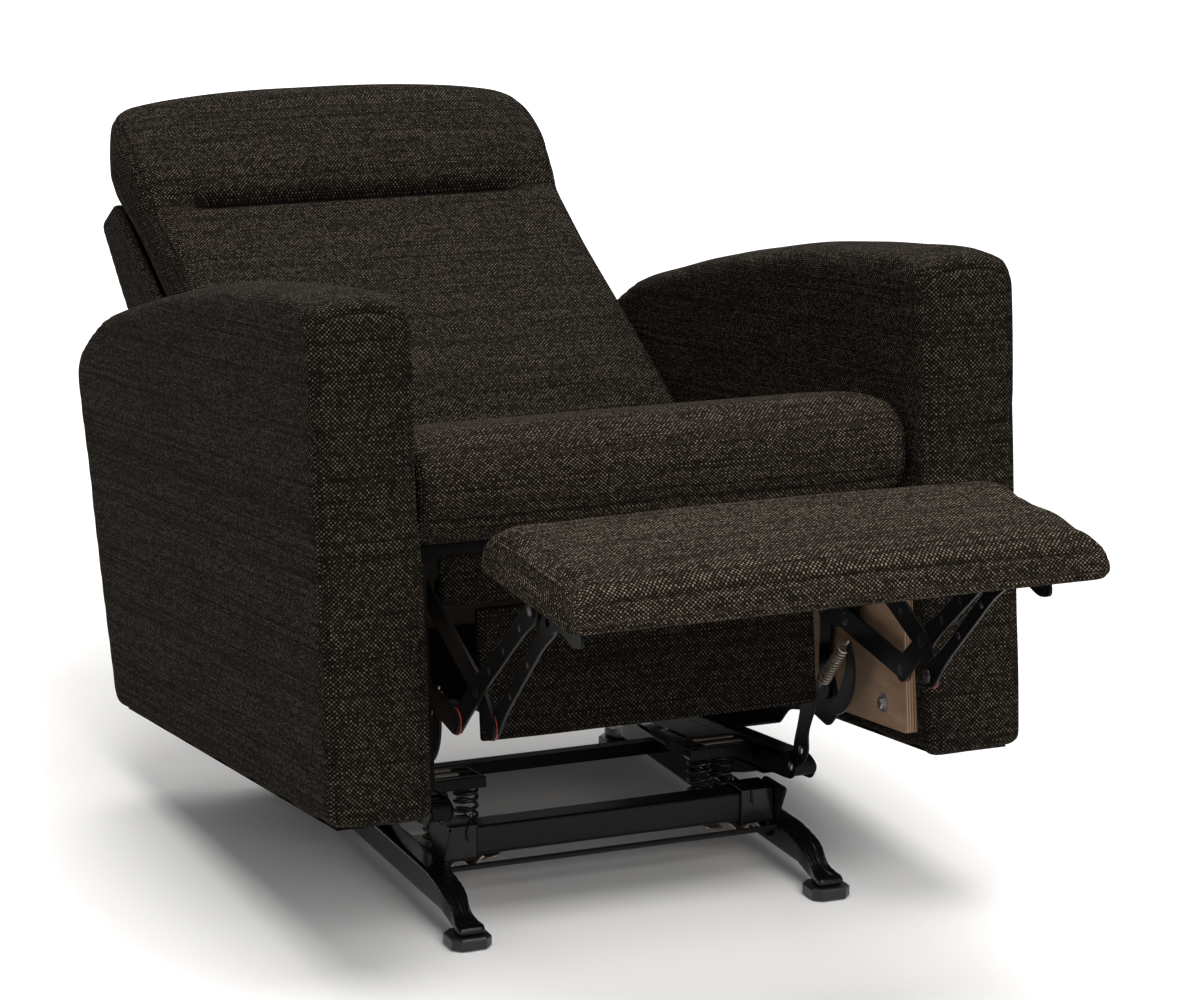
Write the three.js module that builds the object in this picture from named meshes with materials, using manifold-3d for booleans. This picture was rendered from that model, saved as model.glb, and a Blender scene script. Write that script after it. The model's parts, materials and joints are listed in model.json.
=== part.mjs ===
// Rocker recliner armchair with its footrest out and its back laid down.
// Millimetres, +Z up, the chair faces -Y. "left" is the sitter's left, which is +X.
import * as THREE from 'three';
import { mergeVertices } from 'three/addons/utils/BufferGeometryUtils.js';
import Module from 'manifold-3d';

const wasm = await Module();
wasm.setup();

// ---- Driving dimensions ----
const GAP = 0.3;
const CENTRE_Y = 70;
const LEAN = THREE.MathUtils.degToRad(6.53);

// Arms and their plywood inner panels, in the chair's own level frame.
const ARM_INNER = 289.3;
const ARM_OUTER = 400;
const ARM_COVER = 14;
const ARM_FRAME = [318, 372];
const PLY = [274, 289];
const ARM_OUTLINE = [
  [-373, 140, 6], [450, 140, 24], [545, 566, 34], [420, 620, 60],
  [200, 656, 90], [-60, 684, 90], [-318, 690, 34], [-379, 681, 22],
];
const ARM_FRAME_WINDOW = [
  [-312, 205, 10], [405, 205, 10], [462, 545, 10], [190, 596, 30], [-312, 625, 10],
];

// Steel plates of the mechanism lie in layers, counted outwards from the seat's middle.
const LAYER_START = 246;
const LAYER_PITCH = 4;
const PLATE = 3.4;
const UPPER_LINK_LAYER = 0;
const DRIVE_LINK_LAYER = 1;
const LONG_LINK_LAYER = 2;
const REAR_LINK_LAYER = 3;
const SEAT_PLATE_LAYER = 4;
const SWING_LAYER = 5;
const MECHANISM_LAYER = 6;

// Pivots of the footrest linkage, [y, z] in the chair's level frame with the footrest out.
const DRIVE_PIVOT = [-277, 363];
const REAR_PIVOT = [-228, 275];
const CROSS_PIVOT = [-428, 281];
const LONG_LINK_HEEL = [-370, 240];
const UPPER_LINK_HEEL = [-453, 247];
const OTTOMAN_REAR = [-597, 388];
const OTTOMAN_FRONT = [-627, 379];
const LINK_RADIUS = 14;
const PIN_RADIUS = 4.6;
const HOLE_RADIUS = 5.3;
const HEAD_RADIUS = 8;

// Swing links that carry the seat, leaning forward while the back is down.
const SWING_LENGTH = 95;
const SWING_LEAN = THREE.MathUtils.degToRad(8);
const FRONT_SWING_FOOT = [-150, 185];
const REAR_SWING_FOOT = [110, 185];

// The back turns about this pivot. Its outline is [along, out], measured on its own slope.
const BACK_PIVOT = [175, 420];
const BACK_ORIGIN = [236, 484];
const BACK_SLOPE = THREE.MathUtils.degToRad(32.4);
const BACK_HALF = 283;
const SHELL_HALF = 287;
const SHELL_WALL = 14;

// The footrest pad, [back, up] from its rear pivot along its own slope.
const OTTOMAN_SLOPE = THREE.MathUtils.degToRad(7.8);
const OTTOMAN_HALF = 273.4;
const BOARD_HALF = 258;

// Rocker base, in the floor's frame.
const RAIL = [199, 227];
const RAIL_TOP = 57;
const CAM_RADIUS = 500;
const ROCKER_CENTRE = [42, 60.5];
const CAM = [203, 223];
const CAM_LIFT = 3.6;
const SIDE_RAIL = [203, 231];
const SIDE_RAIL_Z = [90, 120];
const CHANNEL_WALL = 4;
const BRACKET_INNER = 124;
const TUBE_END = 191;

// ---- Materials ----
function material(color, roughness, metalness) {
  return new THREE.MeshStandardMaterial({ color, roughness, metalness });
}

const FABRIC = material(0x2b2521, 0.95, 0);
const PANEL_FABRIC = material(0x27211e, 0.95, 0);
const BLACK_STEEL = material(0x131315, 0.32, 0.6);
const ZINC = material(0x9c9488, 0.4, 0.9);
const SPRING_STEEL = material(0x35322f, 0.35, 0.9);
const PLYWOOD = material(0xc29a6c, 0.6, 0);
const HARDWOOD = material(0xa8845a, 0.7, 0);
const GLIDE_PLASTIC = material(0x18181a, 0.5, 0);

// ---- Solids ----
function toSolid(geometry) {
  const bare = geometry.clone();
  bare.deleteAttribute('normal');
  bare.deleteAttribute('uv');
  const merged = mergeVertices(bare, 1e-4);
  return new wasm.Manifold(new wasm.Mesh({
    numProp: 3,
    vertProperties: new Float32Array(merged.attributes.position.array),
    triVerts: new Uint32Array(merged.index.array),
  }));
}

function toGeometry(solid) {
  const mesh = solid.getMesh();
  const geometry = new THREE.BufferGeometry();
  geometry.setAttribute('position', new THREE.BufferAttribute(mesh.vertProperties, 3));
  geometry.setIndex(new THREE.BufferAttribute(mesh.triVerts, 1));
  geometry.computeVertexNormals();
  return geometry;
}

const join = (first, ...rest) => toGeometry(rest.reduce((a, b) => a.add(toSolid(b)), toSolid(first)));
const cut = (first, ...rest) => toGeometry(rest.reduce((a, b) => a.subtract(toSolid(b)), toSolid(first)));

// The same shape on the other side of the chair.
function mirrored(geometry) {
  const flipped = (geometry.index ? geometry.toNonIndexed() : geometry.clone()).scale(-1, 1, 1);
  const p = flipped.attributes.position;
  for (let i = 0; i < p.count; i += 3) {
    const [x, y, z] = [p.getX(i), p.getY(i), p.getZ(i)];
    p.setXYZ(i, p.getX(i + 1), p.getY(i + 1), p.getZ(i + 1));
    p.setXYZ(i + 1, x, y, z);
  }
  flipped.computeVertexNormals();
  return flipped;
}

function block([x0, x1], [y0, y1], [z0, z1]) {
  const geometry = new THREE.BoxGeometry(x1 - x0, y1 - y0, z1 - z0);
  return geometry.translate((x0 + x1) / 2, (y0 + y1) / 2, (z0 + z1) / 2);
}

// A round bar along X, centred on [y, z].
function pin([y, z], radius, [x0, x1], sides = 8) {
  const geometry = new THREE.CylinderGeometry(radius, radius, x1 - x0, sides).rotateZ(Math.PI / 2);
  return geometry.translate((x0 + x1) / 2, y, z);
}

// ---- Outlines, all in a side view of [y, z] ----
// Corners are [y, z, radius]; each is rounded by a short curve.
function outline(corners) {
  const shape = new THREE.Shape();
  corners.forEach(([u, v, radius = 0], i) => {
    const here = new THREE.Vector2(u, v);
    const towards = (other) => new THREE.Vector2(other[0], other[1]).sub(here).setLength(radius).add(here);
    const start = towards(corners.at(i - 1));
    const end = towards(corners[(i + 1) % corners.length]);
    if (i === 0) shape.moveTo(start.x, start.y);
    else shape.lineTo(start.x, start.y);
    if (radius > 0) shape.quadraticCurveTo(u, v, end.x, end.y);
  });
  shape.closePath();
  return shape;
}

// The same outline with every side moved inwards; corners run anticlockwise.
function inset(corners, distance) {
  const side = (i) => {
    const a = new THREE.Vector2(...corners.at(i % corners.length).slice(0, 2));
    const b = new THREE.Vector2(...corners.at((i + 1) % corners.length).slice(0, 2));
    const along = b.clone().sub(a).normalize();
    const inward = new THREE.Vector2(-along.y, along.x).multiplyScalar(distance);
    return { point: a.add(inward), along };
  };
  return corners.map((corner, i) => {
    const before = side(i - 1 + corners.length);
    const after = side(i);
    const t = after.point.clone().sub(before.point).cross(after.along) / before.along.cross(after.along);
    const moved = before.point.addScaledVector(before.along, t);
    return [moved.x, moved.y, Math.max(2, (corner[2] ?? 0) - distance)];
  });
}

// A round-ended bar between two points.
function stadium([ay, az], [by, bz], radius) {
  const angle = Math.atan2(bz - az, by - ay);
  const shape = new THREE.Shape();
  shape.absarc(by, bz, radius, angle - Math.PI / 2, angle + Math.PI / 2);
  shape.absarc(ay, az, radius, angle + Math.PI / 2, angle + 1.5 * Math.PI);
  shape.closePath();
  return shape;
}

const SIDE_VIEW = new THREE.Matrix4().makeBasis(
  new THREE.Vector3(0, 1, 0), new THREE.Vector3(0, 0, 1), new THREE.Vector3(1, 0, 0),
);

// A side-view outline carried straight across the chair from x0 to x1.
function across(shape, [x0, x1], curveSegments = 3) {
  const geometry = new THREE.ExtrudeGeometry(shape, {
    depth: x1 - x0, bevelEnabled: false, curveSegments,
  });
  return geometry.translate(0, 0, x0).applyMatrix4(SIDE_VIEW);
}

// The rounded outline as points, the same number for each corner.
function ring(corners, perCorner = 3) {
  return corners.flatMap(([u, v, radius], i) => {
    const here = new THREE.Vector2(u, v);
    const towards = (other) => new THREE.Vector2(other[0], other[1]).sub(here).setLength(radius).add(here);
    const bend = new THREE.QuadraticBezierCurve(
      towards(corners.at(i - 1)), here, towards(corners[(i + 1) % corners.length]),
    );
    return bend.getPoints(perCorner);
  });
}

// The same outline carried across, with its side edges rounded by rings that are inset towards each side.
function rounded(corners, [x0, x1], bevel, steps = 2) {
  const sections = [];
  for (let i = 0; i <= steps; i += 1) {
    const angle = (i / steps) * (Math.PI / 2);
    sections.push([x0 + bevel * (1 - Math.cos(angle)), bevel * (1 - Math.sin(angle))]);
  }
  const all = [...sections, ...sections.map(([x, inwards]) => [x0 + x1 - x, inwards]).reverse()];
  const rings = all.map(([, inwards]) => ring(inwards > 0 ? inset(corners, inwards) : corners));
  const count = rings[0].length;
  const positions = rings.flatMap((points, i) => points.flatMap(({ x, y }) => [all[i][0], x, y]));
  const index = [];
  for (let i = 0; i < rings.length - 1; i += 1) {
    for (let j = 0; j < count; j += 1) {
      const [a, b] = [i * count + j, i * count + ((j + 1) % count)];
      index.push(a, b, b + count, a, b + count, a + count);
    }
  }
  const cap = THREE.ShapeUtils.triangulateShape(rings[0], []);
  const last = (rings.length - 1) * count;
  cap.forEach(([a, b, c]) => index.push(c, b, a, last + a, last + b, last + c));
  const geometry = new THREE.BufferGeometry();
  geometry.setAttribute('position', new THREE.Float32BufferAttribute(positions, 3));
  geometry.setIndex(index);
  geometry.computeVertexNormals();
  return geometry;
}

// Where one layer of plates starts and ends along X.
function layer(k, from = 0, to = PLATE) {
  const start = LAYER_START + k * LAYER_PITCH;
  return [start + from, start + to];
}

const throughHole = (at) => pin(at, HOLE_RADIUS, [240, 275]);

// A flat steel link through its pivots, with a hole at each listed one.
function link(pivots, k, holes) {
  const bars = pivots.slice(1).map((to, i) => across(stadium(pivots[i], to, LINK_RADIUS), layer(k), 3));
  const body = bars.length > 1 ? join(...bars) : bars[0];
  return holes.length ? cut(body, ...holes.map(throughHole)) : body;
}

// ---- Arms ----
const armCover = () => cut(
  rounded(ARM_OUTLINE, [ARM_INNER, ARM_OUTER], 16),
  across(outline(inset(ARM_OUTLINE, ARM_COVER)), [ARM_INNER + ARM_COVER, ARM_OUTER - ARM_COVER]),
  block([ARM_INNER + ARM_COVER, ARM_OUTER - ARM_COVER], [-340, 400], [120, 160]),
);

const armFrame = () => cut(
  across(outline(inset(ARM_OUTLINE, ARM_COVER + GAP)), ARM_FRAME),
  across(outline(ARM_FRAME_WINDOW), [ARM_INNER, ARM_OUTER]),
);

const armPanel = () => across(outline([
  [-340, 162, 3], [430, 162, 8], [430, 290, 8], [175, 300, 30], [170, 400, 8], [-340, 400, 3],
]), PLY);

// ---- Rocking frame ----
// The rocker centre seen from the leaning chair frame.
function rockerCentre() {
  const [y, z] = ROCKER_CENTRE;
  return [y * Math.cos(LEAN) - z * Math.sin(LEAN), y * Math.sin(LEAN) + z * Math.cos(LEAN)];
}

// A curved foot that rolls on the base rail. Its arc's lowest point is under the rocker centre.
function rockerCam() {
  const [cy, cz] = rockerCentre();
  const arcZ = (y) => cz + CAM_LIFT + CAM_RADIUS - Math.sqrt(CAM_RADIUS ** 2 - (y - cy) ** 2);
  const shape = new THREE.Shape();
  const reach = 150;
  const steps = 16;
  shape.moveTo(cy - reach + 18, SIDE_RAIL_Z[0] - GAP);
  for (let i = 0; i <= steps; i += 1) {
    const y = cy - reach + (2 * reach * i) / steps;
    shape.lineTo(y, Math.min(arcZ(y), SIDE_RAIL_Z[0] - 4));
  }
  shape.lineTo(cy + reach - 18, SIDE_RAIL_Z[0] - GAP);
  shape.closePath();
  return across(shape, CAM);
}

// A channel along the top of the cam, with a tapered front end plate.
function sideRail() {
  const [bottom, top] = SIDE_RAIL_Z;
  const body = across(outline([
    [-190, bottom, 3], [232, bottom, 6], [232, top, 3], [-182, top, 3], [-206, 108, 8],
  ]), SIDE_RAIL);
  const hollow = block(
    [SIDE_RAIL[0] + CHANNEL_WALL, SIDE_RAIL[1] + 5],
    [-178, 240],
    [bottom + CHANNEL_WALL, top - CHANNEL_WALL],
  );
  return cut(body, hollow);
}

// An angle plate: its wall carries the swing links, and its shelf lies on the side rail.
function mechanismPlate() {
  const wall = across(outline([
    [-178, 120.3, 4], [238, 120.3, 4], [238, 165, 20], [128, 202, 16],
    [92, 202, 16], [60, 165, 20], [-100, 165, 20], [-134, 202, 16], [-168, 202, 16],
  ]), layer(MECHANISM_LAYER));
  const shelfBottom = SIDE_RAIL_Z[1] + GAP;
  const shelf = block(
    [SIDE_RAIL[0] - 6, layer(MECHANISM_LAYER)[1]],
    [-168, 232],
    [shelfBottom, shelfBottom + PLATE],
  );
  const feet = [FRONT_SWING_FOOT, REAR_SWING_FOOT]
    .map((at) => pin(at, PIN_RADIUS, layer(SWING_LAYER, 0, LAYER_PITCH + 1)));
  return join(wall, shelf, ...feet);
}

const BAR_WIDTH = 24;
const BAR_STARTS = [-150, 126];

// A round tube between the two mechanism plates, with two bars forward to the front panel.
function mechanismCrossTube() {
  const reach = layer(SWING_LAYER)[1];
  const barFront = -267.5;
  const bars = BAR_STARTS.map((x) => block([x, x + BAR_WIDTH], [barFront, -62], [201, 205]));
  const tabs = BAR_STARTS.map((x) => block([x, x + BAR_WIDTH], [barFront, barFront + 4], [201, 300]));
  return join(pin([-70, 205], 12.5, [-reach, reach], 16), ...bars, ...tabs);
}

const frontPanel = () => across(outline([
  [-280, 195, 3], [-268, 195, 3], [-268, 340, 3], [-280, 340, 3],
]), [-197, 197]);
const rearRail = () => block([-PLY[0] + GAP, PLY[0] - GAP], [412, 430], [190, 285]);

function upperSpringBracket() {
  const shelf = block([BRACKET_INNER, SIDE_RAIL[0] - GAP], [-86, -20], [113, 117]);
  const skirt = block([BRACKET_INNER, SIDE_RAIL[0] - GAP], [-90, -86], [99, 117]);
  const wall = block([SIDE_RAIL[0] - 4, SIDE_RAIL[0] - GAP], [-90, -20], [95, 117]);
  return join(shelf, skirt, wall);
}

// ---- Base ----
const RAIL_OUTLINE = [
  [-268, 14.3, 2], [-230, 14.3, 8], [-210, 26, 14], [-165, 25, 20], [250, 25, 20], [296, 26, 14],
  [316, 14.3, 8], [354, 14.3, 2], [354, 24, 4], [328, 27, 8], [304, 46, 20], [254, RAIL_TOP, 30],
  [-168, RAIL_TOP, 30], [-218, 46, 20], [-242, 27, 8], [-268, 24, 4],
];
const FOOT_Y = [-252, 338];

// A pressed rail with a rounded back, open underneath between its feet.
const baseRail = () => cut(
  rounded(RAIL_OUTLINE, RAIL, 1.5, 1),
  block([RAIL[0] + 4, RAIL[1] - 4], [-150, 236], [20, 50]),
);

function footGlide(y) {
  const pad = new THREE.Shape();
  const [halfWidth, halfLength, chamfer] = [23, 22, 9];
  const [innerWidth, innerLength] = [halfWidth - chamfer, halfLength - chamfer];
  const corners = [
    [-innerWidth, -halfLength], [innerWidth, -halfLength], [halfWidth, -innerLength], [halfWidth, innerLength],
    [innerWidth, halfLength], [-innerWidth, halfLength], [-halfWidth, innerLength], [-halfWidth, -innerLength],
  ];
  pad.setFromPoints(corners.map(([x, v]) => new THREE.Vector2(x, v)));
  const geometry = new THREE.ExtrudeGeometry(pad, {
    depth: 10, bevelEnabled: true, bevelSize: 2, bevelThickness: 2, bevelOffset: -2, bevelSegments: 1,
  });
  return geometry.translate((RAIL[0] + RAIL[1]) / 2, y, 2);
}

const FRONT_TUBE = { y: [-139, -105], z: [RAIL_TOP + GAP, RAIL_TOP + 34] };
const frontTube = () => across(outline([
  [FRONT_TUBE.y[0], FRONT_TUBE.z[0], 4], [FRONT_TUBE.y[1], FRONT_TUBE.z[0], 4],
  [FRONT_TUBE.y[1], FRONT_TUBE.z[1], 4], [FRONT_TUBE.y[0], FRONT_TUBE.z[1], 4],
]), [-TUBE_END, TUBE_END]);

// A clasp bolted to the rail's inner face that wraps the end of the front tube.
function tubeClasp() {
  const [y0, y1] = FRONT_TUBE.y;
  const [z0, z1] = FRONT_TUBE.z;
  const plate = across(outline([
    [y0 - 5, 30, 5], [y1 + 5, 30, 5], [y1 + 5, z1 + 4, 3], [y0 - 5, z1 + 4, 3],
  ]), [TUBE_END + GAP, RAIL[0] - GAP]);
  const wrap = block([154, 192], [y0 - 5, y1 + 5], [z0 - 5, z1 + 4]);
  const room = block([150, TUBE_END + GAP], [y0 - GAP, y1 + GAP], [z0 - GAP, z1 + GAP]);
  return join(plate, cut(wrap, room));
}

const frontRod = () => pin([-152, 50], 3.5, [-RAIL[0] + GAP, RAIL[0] - GAP], 10);
const rearTube = () => block([-RAIL[0] + GAP, RAIL[0] - GAP], [192, 208], [36, 52]);

function lowerSpringBracket() {
  const shelf = block([BRACKET_INNER, RAIL[0] - GAP], [-98, -20], [44, 48]);
  const lip = block([BRACKET_INNER, RAIL[0] - GAP], [-98, -94], [36, 48]);
  const wall = block([RAIL[0] - 5, RAIL[0] - GAP], [-98, -20], [30, 48]);
  return join(shelf, lip, wall);
}

// A coil between the lower shelf and the upper one, closed flat at neither end.
const SPRING = { radius: 12.5, wire: 2.2, turns: 4.5, from: 51, to: 109 };
function coilSpring(x, y) {
  class Helix extends THREE.Curve {
    getPoint(t) {
      const angle = t * SPRING.turns * 2 * Math.PI;
      const z = SPRING.from + (SPRING.to - SPRING.from) * t;
      return new THREE.Vector3(SPRING.radius * Math.cos(angle), SPRING.radius * Math.sin(angle), z);
    }
  }
  const wire = new THREE.Shape().absarc(0, 0, SPRING.wire, 0, 2 * Math.PI);
  const geometry = new THREE.ExtrudeGeometry(wire, {
    steps: 36, curveSegments: 2, extrudePath: new Helix(),
  });
  return geometry.translate(x, y, 0);
}

// ---- Seat ----
const swingTop = ([y, z]) => [
  y - SWING_LENGTH * Math.sin(SWING_LEAN), z + SWING_LENGTH * Math.cos(SWING_LEAN),
];
const swingLink = (foot) => link([foot, swingTop(foot)], SWING_LAYER, [foot, swingTop(foot)]);

// A side plate with a flange under the deck and pins for every link that it carries.
function seatSidePlate() {
  const wall = across(outline([
    [-294, 350, 12], [-262, 335, 10], [-246, 262, 14], [-156, 262, 14], [-140, 300, 20], [55, 300, 20],
    [70, 262, 14], [104, 262, 14], [196, 405, 16], [192, 438, 13], [161, 438, 13], [157, 403.4, 4],
    [-288, 403.4, 6],
  ]), layer(SEAT_PLATE_LAYER));
  const outer = layer(SEAT_PLATE_LAYER)[1];
  const flange = block([238, outer], [-262, 140], [400, 403.4]);
  const drivePin = pin(DRIVE_PIVOT, PIN_RADIUS, [layer(DRIVE_LINK_LAYER)[0] - 0.4, outer]);
  const driveHead = pin(DRIVE_PIVOT, HEAD_RADIUS, [
    layer(UPPER_LINK_LAYER)[0] + 1, layer(DRIVE_LINK_LAYER)[0] - GAP,
  ]);
  const rearPin = pin(REAR_PIVOT, PIN_RADIUS, [layer(REAR_LINK_LAYER)[0], outer]);
  const backPin = pin(BACK_PIVOT, PIN_RADIUS, [layer(REAR_LINK_LAYER)[0], outer]);
  const swingPins = [FRONT_SWING_FOOT, REAR_SWING_FOOT]
    .map((foot) => pin(swingTop(foot), PIN_RADIUS, [outer - 1, layer(SWING_LAYER)[1]]));
  return join(wall, flange, drivePin, driveHead, rearPin, backPin, ...swingPins);
}

const seatFrontRail = () => block([-222, 222], [-292, -270], [345, 403.4]);

const seatDeck = () => block([-262, 262], [-292, 150], [403.7, 413.7]);

const seatCushion = () => rounded([
  [-300, 415, 6], [154, 415, 8], [147, 486, 12], [-73, 510, 60], [-260, 533, 60], [-345, 536, 16],
  [-364, 512, 12], [-366, 462, 14], [-341, 440, 12],
], [-282, 282], 10);

// ---- Back ----
function onBack([along, out, radius]) {
  const [c, s] = [Math.cos(BACK_SLOPE), Math.sin(BACK_SLOPE)];
  return [BACK_ORIGIN[0] + along * c - out * s, BACK_ORIGIN[1] + along * s + out * c, radius];
}

const SHELL_OUTLINE = [[-20, -166, 10], [440, -164, 60], [602, -126, 14], [560, -64, 6], [-20, -64, 4]];
const backShell = () => cut(
  rounded(SHELL_OUTLINE.map(onBack), [-SHELL_HALF, SHELL_HALF], 3, 1),
  across(
    outline([[0, -152], [438, -150], [582, -117], [560, -40], [0, -40]].map(onBack)),
    [-SHELL_HALF + SHELL_WALL, SHELL_HALF - SHELL_WALL],
  ),
);

const CUSHION_OUTLINE = [
  [-40, -62, 12], [340, -63, 60], [585, -58, 20], [625, -38, 20], [662, 6, 16], [640, 32, 16],
  [560, 40, 36], [500, 22, 24], [470, 2, 10], [440, 4, 18], [150, 6, 60], [-40, 0, 16],
];
const backCushion = () => rounded(CUSHION_OUTLINE.map(onBack), [-BACK_HALF, BACK_HALF], 9);

// Where a point of the side view lies on the back's own slope.
function offBack([y, z]) {
  const [c, s] = [Math.cos(BACK_SLOPE), Math.sin(BACK_SLOPE)];
  const [dy, dz] = [y - BACK_ORIGIN[0], z - BACK_ORIGIN[1]];
  return [dy * c + dz * s, dz * c - dy * s];
}

// A bracket from the back pivot to the shell's lower wall.
function backBracket() {
  const inner = layer(REAR_LINK_LAYER);
  const [along, out] = offBack(BACK_PIVOT);
  const arm = across(outline([
    [along - 14, out + 14, 12], [along - 14, out - 16, 12], [-40, -150, 6], [-20.3, -150, 2],
    [-20.3, -70, 2], [-44, -66, 3], [-56, -30, 12], [along + 14, out + 14, 12],
  ].map(onBack)), inner);
  const flange = across(outline([
    [-23.7, -150, 1], [-20.3, -150, 1], [-20.3, -70, 1], [-23.7, -70, 1],
  ].map(onBack)), [inner[0] - 26, inner[1]]);
  return cut(join(arm, flange), throughHole(BACK_PIVOT));
}

// ---- Footrest ----
function onOttoman([back, up, radius]) {
  const [c, s] = [Math.cos(OTTOMAN_SLOPE), Math.sin(OTTOMAN_SLOPE)];
  return [OTTOMAN_REAR[0] + back * c - up * s, OTTOMAN_REAR[1] + back * s + up * c, radius];
}

const BOARD_OUTLINE = [[-150, 18, 2], [52, 18, 2], [52, 30, 2], [-150, 30, 2]];
const ottomanBoard = () => across(outline(BOARD_OUTLINE.map(onOttoman)), [-BOARD_HALF, BOARD_HALF]);

const PAD_OUTLINE = [
  [-170, 19, 12], [62, 19, 4], [72, 31, 7], [69, 70, 13], [20, 76, 30], [-120, 74, 40],
  [-186, 62, 14], [-193, 30, 11],
];
const ottomanPad = () => cut(
  rounded(PAD_OUTLINE.map(onOttoman), [-OTTOMAN_HALF, OTTOMAN_HALF], 8),
  across(
    outline([[-150.4, 0], [52.4, 0], [52.4, 30.4], [-150.4, 30.4]].map(onOttoman)),
    [-BOARD_HALF - GAP, BOARD_HALF + GAP],
  ),
);

// A bracket under the board, with the long link's pin at its origin and a hole for the upper link.
function ottomanBracket() {
  const wall = across(outline([
    [-112, 17.4, 3], [-118, -6, 8], [-96, -12, 8], [-58, -4, 11], [-37, -17, 10],
    [6, -13, 8], [18, 0, 8], [46, 8, 5], [46, 17.4, 3],
  ].map(onOttoman)), layer(DRIVE_LINK_LAYER));
  const flange = across(outline([
    [-112, 14, 1], [46, 14, 1], [46, 17.4, 1], [-112, 17.4, 1],
  ].map(onOttoman)), [226, layer(DRIVE_LINK_LAYER)[1]]);
  const linkOuter = layer(LONG_LINK_LAYER)[1];
  const shaft = pin(OTTOMAN_REAR, PIN_RADIUS, [layer(DRIVE_LINK_LAYER)[0], linkOuter + 1]);
  const head = pin(OTTOMAN_REAR, HEAD_RADIUS, [linkOuter + GAP, linkOuter + 2.5]);
  return cut(join(wall, flange, shaft, head), throughHole(OTTOMAN_FRONT));
}

// The front arm of the scissor, with the cross pin and the upper link's pin on it.
function driveLink() {
  const body = link([DRIVE_PIVOT, CROSS_PIVOT, UPPER_LINK_HEEL], DRIVE_LINK_LAYER, [DRIVE_PIVOT]);
  const [driveInner, driveOuter] = layer(DRIVE_LINK_LAYER);
  const upperInner = layer(UPPER_LINK_LAYER)[0];
  const crossPin = pin(CROSS_PIVOT, PIN_RADIUS, [driveInner, layer(LONG_LINK_LAYER)[1]]);
  const heelPin = pin(UPPER_LINK_HEEL, PIN_RADIUS, [upperInner - 1, driveOuter]);
  const heelHead = pin(UPPER_LINK_HEEL, HEAD_RADIUS, [upperInner - 2.5, upperInner - GAP]);
  return join(body, crossPin, heelPin, heelHead);
}

function longLink() {
  const pivots = [LONG_LINK_HEEL, CROSS_PIVOT, OTTOMAN_REAR];
  return link(pivots, LONG_LINK_LAYER, pivots.slice(1));
}

function upperLink() {
  const body = link([UPPER_LINK_HEEL, OTTOMAN_FRONT], UPPER_LINK_LAYER, [UPPER_LINK_HEEL]);
  const inner = layer(UPPER_LINK_LAYER)[0];
  return join(body, pin(OTTOMAN_FRONT, HEAD_RADIUS, [inner - 2, inner + 1]));
}

function rearLink() {
  const body = link([REAR_PIVOT, LONG_LINK_HEEL], REAR_LINK_LAYER, [REAR_PIVOT]);
  const outer = layer(REAR_LINK_LAYER)[1];
  return join(body, pin(LONG_LINK_HEEL, HEAD_RADIUS, [outer - 1, outer + 2]));
}

// ---- Assembly ----
const armchair = new THREE.Group();
armchair.position.y = -CENTRE_Y;
const base = new THREE.Group();
const chair = new THREE.Group();
chair.rotation.x = -LEAN;
armchair.add(base, chair);

function add(group, name, geometry, look) {
  const mesh = new THREE.Mesh(geometry, look);
  mesh.name = name;
  group.add(mesh);
}

function addPair(group, name, geometry, look) {
  add(group, `${name}_left`, geometry, look);
  add(group, `${name}_right`, mirrored(geometry), look);
}

addPair(base, 'base_rail', baseRail(), BLACK_STEEL);
addPair(base, 'front_foot_glide', footGlide(FOOT_Y[0]), GLIDE_PLASTIC);
addPair(base, 'rear_foot_glide', footGlide(FOOT_Y[1]), GLIDE_PLASTIC);
add(base, 'base_front_tube', frontTube(), BLACK_STEEL);
addPair(base, 'tube_clasp', tubeClasp(), BLACK_STEEL);
add(base, 'base_front_rod', frontRod(), BLACK_STEEL);
add(base, 'base_rear_tube', rearTube(), BLACK_STEEL);
addPair(base, 'lower_spring_bracket', lowerSpringBracket(), ZINC);
addPair(base, 'inner_coil_spring', coilSpring(143, -62), SPRING_STEEL);
addPair(base, 'outer_coil_spring', coilSpring(175, -50), SPRING_STEEL);

addPair(chair, 'rocker_cam', rockerCam(), BLACK_STEEL);
addPair(chair, 'side_rail', sideRail(), BLACK_STEEL);
addPair(chair, 'upper_spring_bracket', upperSpringBracket(), BLACK_STEEL);
addPair(chair, 'mechanism_plate', mechanismPlate(), BLACK_STEEL);
add(chair, 'mechanism_cross_tube', mechanismCrossTube(), BLACK_STEEL);
addPair(chair, 'arm_panel', armPanel(), PLYWOOD);
addPair(chair, 'arm_frame', armFrame(), HARDWOOD);
addPair(chair, 'arm_cover', armCover(), FABRIC);
add(chair, 'front_panel', frontPanel(), PANEL_FABRIC);
add(chair, 'rear_rail', rearRail(), HARDWOOD);

addPair(chair, 'front_swing_link', swingLink(FRONT_SWING_FOOT), BLACK_STEEL);
addPair(chair, 'rear_swing_link', swingLink(REAR_SWING_FOOT), BLACK_STEEL);
addPair(chair, 'seat_side_plate', seatSidePlate(), BLACK_STEEL);
add(chair, 'seat_front_rail', seatFrontRail(), PANEL_FABRIC);
add(chair, 'seat_deck', seatDeck(), HARDWOOD);
add(chair, 'seat_cushion', seatCushion(), FABRIC);

addPair(chair, 'back_bracket', backBracket(), BLACK_STEEL);
add(chair, 'back_shell', backShell(), FABRIC);
add(chair, 'back_cushion', backCushion(), FABRIC);

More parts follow.
